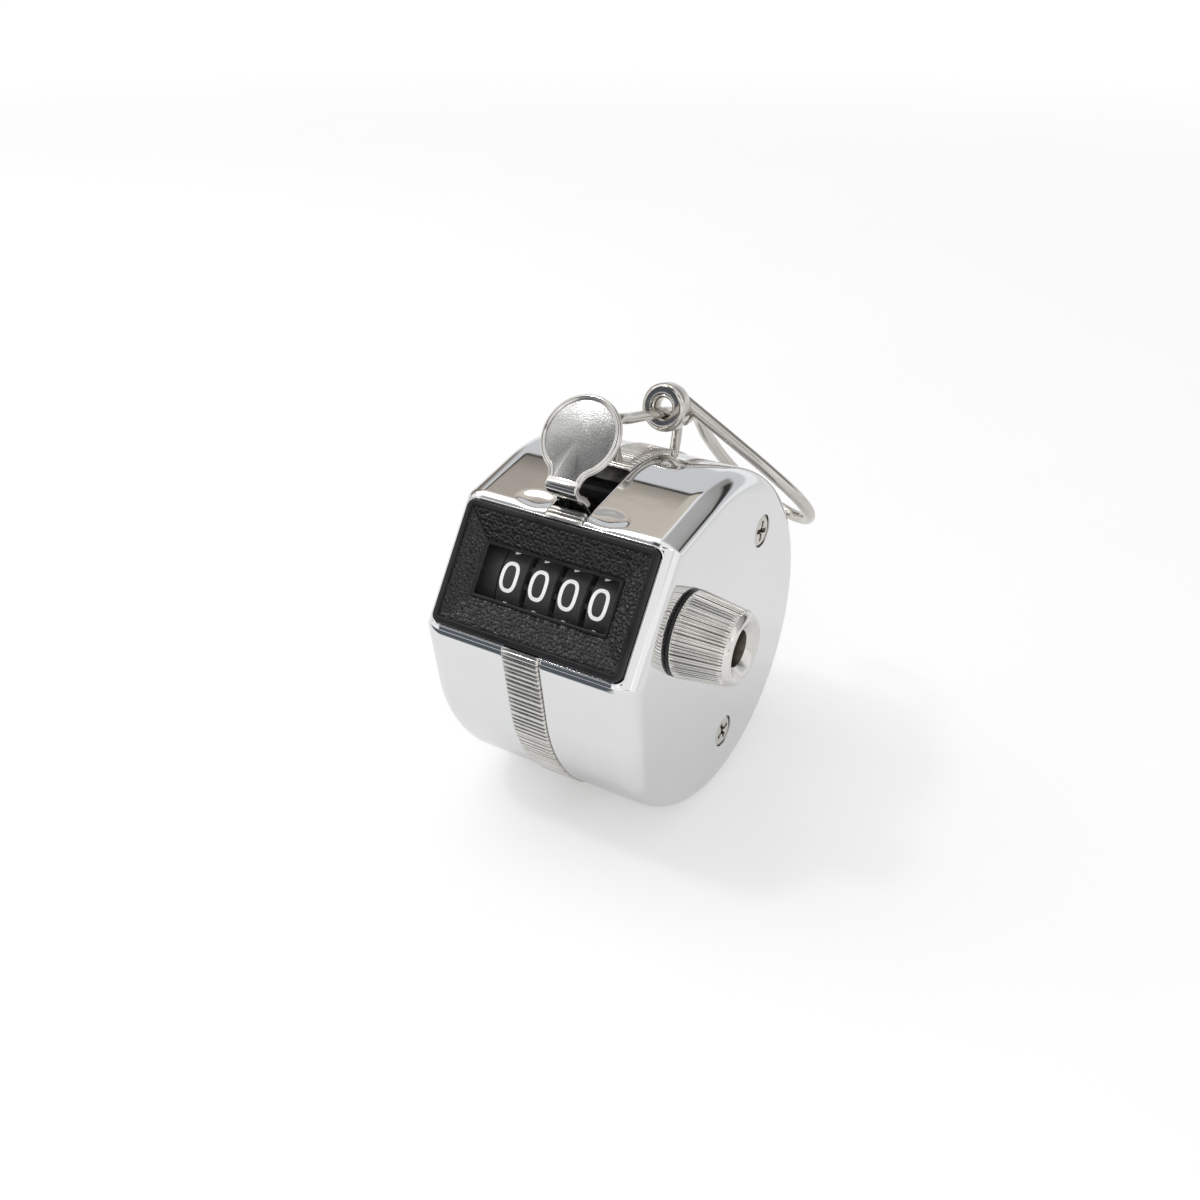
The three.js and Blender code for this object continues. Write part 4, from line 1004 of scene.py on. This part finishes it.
# painted shade: the dark colour of the screws' crosses and the knob's bore
recess_painted_shade = plated("recess_painted_shade", (0.07, 0.06, 0.05), (0.17, 0.15, 0.12), (0.3, 0.5), 400, 0.1)
knob_nickel = plated("knob_nickel", (0.68, 0.665, 0.635), (0.82, 0.805, 0.775), (0.08, 0.2), 200, 0.06, (0.1, 1, 1))
steel = plated("plain_steel", (0.42, 0.42, 0.42), (0.56, 0.56, 0.55), (0.3, 0.5), 150, 0.1, (0.2, 1, 1))
spring_steel = plated("spring_steel", (0.34, 0.35, 0.37), (0.5, 0.51, 0.52), (0.25, 0.4), 250, 0.08)
cut_brass = plated("cut_brass", (0.55, 0.40, 0.16), (0.70, 0.54, 0.26), (0.25, 0.42), 220, 0.1, (1, 0.2, 0.2))
print(len(bpy.data.materials), "materials so far")

# %% [markdown]
# The bezel's facets have a fine skin over their pebbles, from the cells of a texture, and the tops of some are
# painted lighter in patches: a painted highlight that also stands for wear. The border is plain moulded plastic.
# The figures carry a little light of their own, so that they read as white behind the window.

# %% Plastics
FIGURE_GLOW = 0.2
WINDOW_ALPHA = 0.03


def moulded(name, dark, light, rough, orange_peel):
    """Satin plastic with a faint unevenness."""
    material, tree, shader, place = start_material(name)
    clouds = ranged(tree, noise(tree, place, 140, 4), 0, 1)
    fill(tree, shader, {
        "Base Color": mixed(tree, clouds, dark, light), "Roughness": ranged(tree, noise(tree, place, 700, 3), *rough),
        "Specular IOR Level": 0.28, "Normal": bump(tree, noise(tree, place, 2600, 3), orange_peel, 0.00003),
    })
    return material


def grained(name):
    """The pebbles are in the mesh; here they get a fine skin, a painted highlight on the tops of some, partly wear,
    and a broken gloss.
    """
    material, tree, shader, place = start_material(name)
    cells = add_node(tree, "TexVoronoi", {"Vector": place, "Scale": 5200}, "Distance", feature="SMOOTH_F1")
    height = ranged(tree, cells, 1, 0, 0.0, 0.7)
    patches = ranged(tree, noise(tree, place, 1300, 2), 0.2, 1)
    # painted highlight: the pebbles' tops get a lighter colour, in patches that also stand for wear
    crest_highlight_and_wear = product(tree, ranged(tree, height, 0, 1, 0.7, 0.96), patches)
    fill(tree, shader, {
        "Base Color": mixed(tree, crest_highlight_and_wear, (0.004, 0.004, 0.005), (0.045, 0.045, 0.047)),
        "Roughness": ranged(tree, height, 0.30, 0.14, 0, 1), "Specular IOR Level": 0.5,
        "Normal": bump(tree, height, 0.5, 0.00006),
    })
    return material


def clear_window():
    """Clear sheet that lets light through to the wheels and keeps a faint gloss."""
    material, tree, shader, place = start_material("clear_window")
    tint = mixed(tree, noise(tree, place, 90, 3), (0.01, 0.012, 0.013), (0.02, 0.022, 0.023))
    rough = ranged(tree, noise(tree, place, 400, 3), 0.03, 0.09)
    fill(tree, shader, {"Base Color": tint, "Roughness": rough, "Alpha": WINDOW_ALPHA})
    return material


bezel_plain = moulded("bezel_plain", (0.012, 0.012, 0.013), (0.026, 0.026, 0.028), (0.22, 0.4), 0.1)
bezel_grain = grained("bezel_grain")
wheel_black = moulded("wheel_black", (0.04, 0.04, 0.042), (0.062, 0.062, 0.065), (0.35, 0.5), 0.12)
figure_white = moulded("figure_white", (0.90, 0.90, 0.89), (0.96, 0.96, 0.95), (0.4, 0.55), 0.05)
figure_shader = figure_white.node_tree.nodes["Principled BSDF"]
fill(figure_white.node_tree, figure_shader, {"Emission Color": (1, 1, 0.99), "Emission Strength": FIGURE_GLOW})
window_clear = clear_window()
print(len(bpy.data.materials), "materials")

# %% [markdown]
# Each piece gets its materials in the order of its material numbers, and each CAD node that is still shown
# gets one.

# %% Dressing
def dress(obj, *materials):
    """Puts the materials into the object's slots, in order, and leaves the faces' numbers alone."""
    slots = obj.data.materials
    for k, material in enumerate(materials):
        if k < len(slots):
            slots[k] = material
        else:
            slots.append(material)


for material, pieces in [(chrome, [*shells, window_lip]), (nickel, [hoop, ring]), (bezel_plain, [washer])]:
    for piece in pieces:
        dress(piece, material)
for drum in drums:
    dress(drum, wheel_black, figure_white)
for fastener in screws:
    dress(fastener, nickel, recess_painted_shade)
dress(band, band_nickel, band_groove_painted_shade)
dress(bezel, bezel_plain, bezel_grain)
dress(lever, rim_nickel, pad_nickel)
dress(knob, knob_nickel, recess_painted_shade, knurl_painted_shade)

KEPT_NODES = [
    (window_clear, "window_lens"),
    (steel, "left_plate right_plate upper_post lower_post pinion_shaft lever_shaft wheel_axle drive_arm"),
    (steel, "drive_pawl pawl_pin ratchet_wheel"),
    (spring_steel, "detent_spring lever_return_spring"),
    (cut_brass, "thousands_pinion hundreds_pinion tens_pinion"),
    (wheel_black, "left_spacer"),
]
for material, names in KEPT_NODES:
    for name in names.split():
        dress(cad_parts[name], material)
print("dressed", sum(len(names.split()) for _, names in KEPT_NODES), "nodes of the frame")

# %% [markdown]
# A plain white floor just under the case. Mirror chrome shows its surroundings and nothing else, so the
# floor is made with care: the camera sees it white, metal sees it darker, and metal alone sees a patch of
# slate on it in front of the case, which gives the chrome its dark band under the bezel.

# %% Floor
FLOOR_HALF = 1.6
FLOOR_LIFT = (0.30, 0.52)
FLOOR_HEIGHT = cad_box[0][2] - 0.00005
SLATE = (0.10, 0.115, 0.135)
METAL_SHARE = 0.53


def shown_rays(tree):
    """1 for the rays that come from the camera, from metal or through glass; and 1 for the camera's alone."""
    rays = tree.nodes.new("ShaderNodeLightPath").outputs
    shown = math_node(tree, "MAXIMUM", rays["Is Camera Ray"], rays["Is Glossy Ray"])
    return math_node(tree, "MAXIMUM", shown, rays["Is Transmission Ray"]), rays["Is Camera Ray"]


def within(tree, value, low, high, soft):
    """1 between low and high and 0 outside, with a ramp of the soft width on each side."""
    rise = ranged(tree, value, 0, 1, low - soft / 2, low + soft / 2)
    return math_node(tree, "MINIMUM", rise, ranged(tree, value, 1, 0, high - soft / 2, high + soft / 2))


def split_vector(tree, vector):
    """The three coordinates of a vector."""
    node = tree.nodes.new("ShaderNodeSeparateXYZ")
    tree.links.new(vector, node.inputs["Vector"])
    return node.outputs


def make_floor():
    """A wide plane: its lit colour is pale, and what the camera and the metal see is lifted to white."""
    mesh = bpy.data.meshes.new("floor")
    corners = [(x * FLOOR_HALF, y * FLOOR_HALF, FLOOR_HEIGHT) for x, y in [(-1, -1), (1, -1), (1, 1), (-1, 1)]]
    mesh.from_pydata(corners, [], [(0, 1, 2, 3)])
    floor = placed("floor", mesh)
    material, tree, shader, place = start_material("white_paper")
    tint = mixed(tree, noise(tree, place, 30, 3), (0.78, 0.78, 0.78), (0.80, 0.80, 0.80))
    x, y, _ = split_vector(tree, place)
    shown, from_camera = shown_rays(tree)
    patch = product(tree, within(tree, y, -0.60, -0.056, 0.012), within(tree, x, -0.25, 0.015, 0.03))
    patch = product(tree, patch, math_node(tree, "SUBTRACT", 1, from_camera), shown)
    away = add_node(tree, "VectorMath", {0: place}, "Value", operation="LENGTH")
    lift = ranged(tree, away, *FLOOR_LIFT, 0.12, 0.9)
    share = ranged(tree, from_camera, METAL_SHARE, 1, 0, 1)
    fill(tree, shader, {
        "Base Color": mixed(tree, patch, tint, mixed(tree, patch, (0, 0, 0), SLATE)), "Roughness": 0.7,
        "Specular IOR Level": 0.0, "Emission Color": (1, 1, 1),
        "Emission Strength": product(tree, shown, lift, share, math_node(tree, "SUBTRACT", 1, patch)),
    })
    mesh.materials.append(material)
    print("floor at", round(FLOOR_HEIGHT, 5))


make_floor()

# %% [markdown]
# The rest of the surroundings is the world: white round about, with soft cards that only metal and glass
# see. They stand for a studio's screens, and dark ones lie where a lamp would make the chrome too bright,
# because its light adds to the world's. One lamp hangs overhead, one stands in front, and a small one glints.

# %% World and lamps
AMBIENT = 0.62
LAMP_DISTANCE = 0.45
# side angle, turn from the back horizon over the top to the front, softness, colours at the turn's two ends
CARDS = [
    ((-70, 62), (10, 50), 4, (0.66, 0.67, 0.69), (0.66, 0.67, 0.69)),
    ((-70, -9), (49, 90), 2, (0.60, 0.55, 0.48), (0.82, 0.77, 0.70)),
    ((-44, -29.5), (49, 70), 5, (0.40, 0.36, 0.315), (0.72, 0.665, 0.60)),
    ((-70, -8), (48.2, 50.8), 1.6, (0.03, 0.028, 0.025), (0.03, 0.028, 0.025)),
    ((-4, 58), (24, 84), 5, (0.26, 0.255, 0.245), (0.62, 0.62, 0.62)),
    ((8, 46), (24, 35), 5, (0.04, 0.038, 0.035), (0.05, 0.046, 0.042)),
    ((-66, -10), (79, 109), 6, (0.02, 0.02, 0.02), (0.02, 0.02, 0.02)),
    ((-42, -10), (138, 149), 3, (0.10, 0.10, 0.105), (0.10, 0.10, 0.105)),
    ((-42, -10), (149, 200), 3, (0.10, 0.115, 0.135), (0.10, 0.115, 0.135)),
    ((-42, -6), (118, 138), 7, (0.42, 0.42, 0.425), (0.36, 0.36, 0.365)),
    ((-90, -47), (4, 76), 6, (0.20, 0.175, 0.15), (0.30, 0.27, 0.23)),
    ((-21, 3), (112, 138), 8, (0.07, 0.07, 0.072), (0.07, 0.07, 0.072)),
    ((12, 60), (124, 165), 5, (0.04, 0.04, 0.042), (0.03, 0.03, 0.032)),
]
LAMPS = {  # direction from the case, size, power
    "overhead": ((-0.56, -0.06, 0.82), (0.26, 0.50), 0.52),
    "front": ((0.55, -0.68, 0.48), (0.40, 0.24), 0.27),
    "glint": ((-0.454, -0.25, 0.855), (0.05, 0.05), 0.18),
}


def make_world():
    """A card is a window of two angles in degrees: the side angle asin x, and the turn atan2(z, y) about the
    X axis."""
    world = bpy.data.worlds.new("studio")
    bpy.context.scene.world = world
    world.use_nodes = True
    tree, degrees = world.node_tree, math.degrees(1)
    x, y, z = split_vector(tree, add_node(tree, "TexCoord", {}, "Generated"))
    side = product(tree, math_node(tree, "ARCSINE", x), degrees)
    turn = product(tree, math_node(tree, "ARCTAN2", z, y), degrees)
    colour = mixed(tree, ranged(tree, turn, 0, 1, 60, 100), (0.95, 0.955, 0.96), (1.0, 1.0, 1.0))
    for sides, turns, soft, first, last in CARDS:
        card = mixed(tree, ranged(tree, turn, 0, 1, *turns), first, last)
        amount = product(tree, within(tree, side, *sides, soft), within(tree, turn, *turns, soft))
        colour = mixed(tree, amount, colour, card)
    shown, from_camera = shown_rays(tree)
    plain = mixed(tree, ranged(tree, turn, 0, 1, 0, 180), (AMBIENT,) * 3, (AMBIENT * 1.03,) * 3)
    colour = mixed(tree, from_camera, mixed(tree, shown, plain, colour), (1, 1, 1))
    fill(tree, tree.nodes["Background"], {"Color": colour, "Strength": 1.0})


def area_lamp(name, direction, size, power):
    """A rectangular lamp that looks back at the case from a direction."""
    data = bpy.data.lights.new(name, "AREA")
    data.shape = "RECTANGLE"
    data.size, data.size_y = size
    data.energy = power
    lamp = placed(name, data)
    toward = Vector(direction).normalized()
    lamp.location = Vector((CASE_MIDDLE * MM, 0, 0)) + toward * LAMP_DISTANCE
    lamp.rotation_euler = (-toward).to_track_quat("-Z", "Y").to_euler()


make_world()
for name, lamp in LAMPS.items():
    area_lamp(name, *lamp)
bpy.context.scene.view_settings.view_transform = "Standard"
print(len(CARDS), "cards and", len(LAMPS), "lamps")
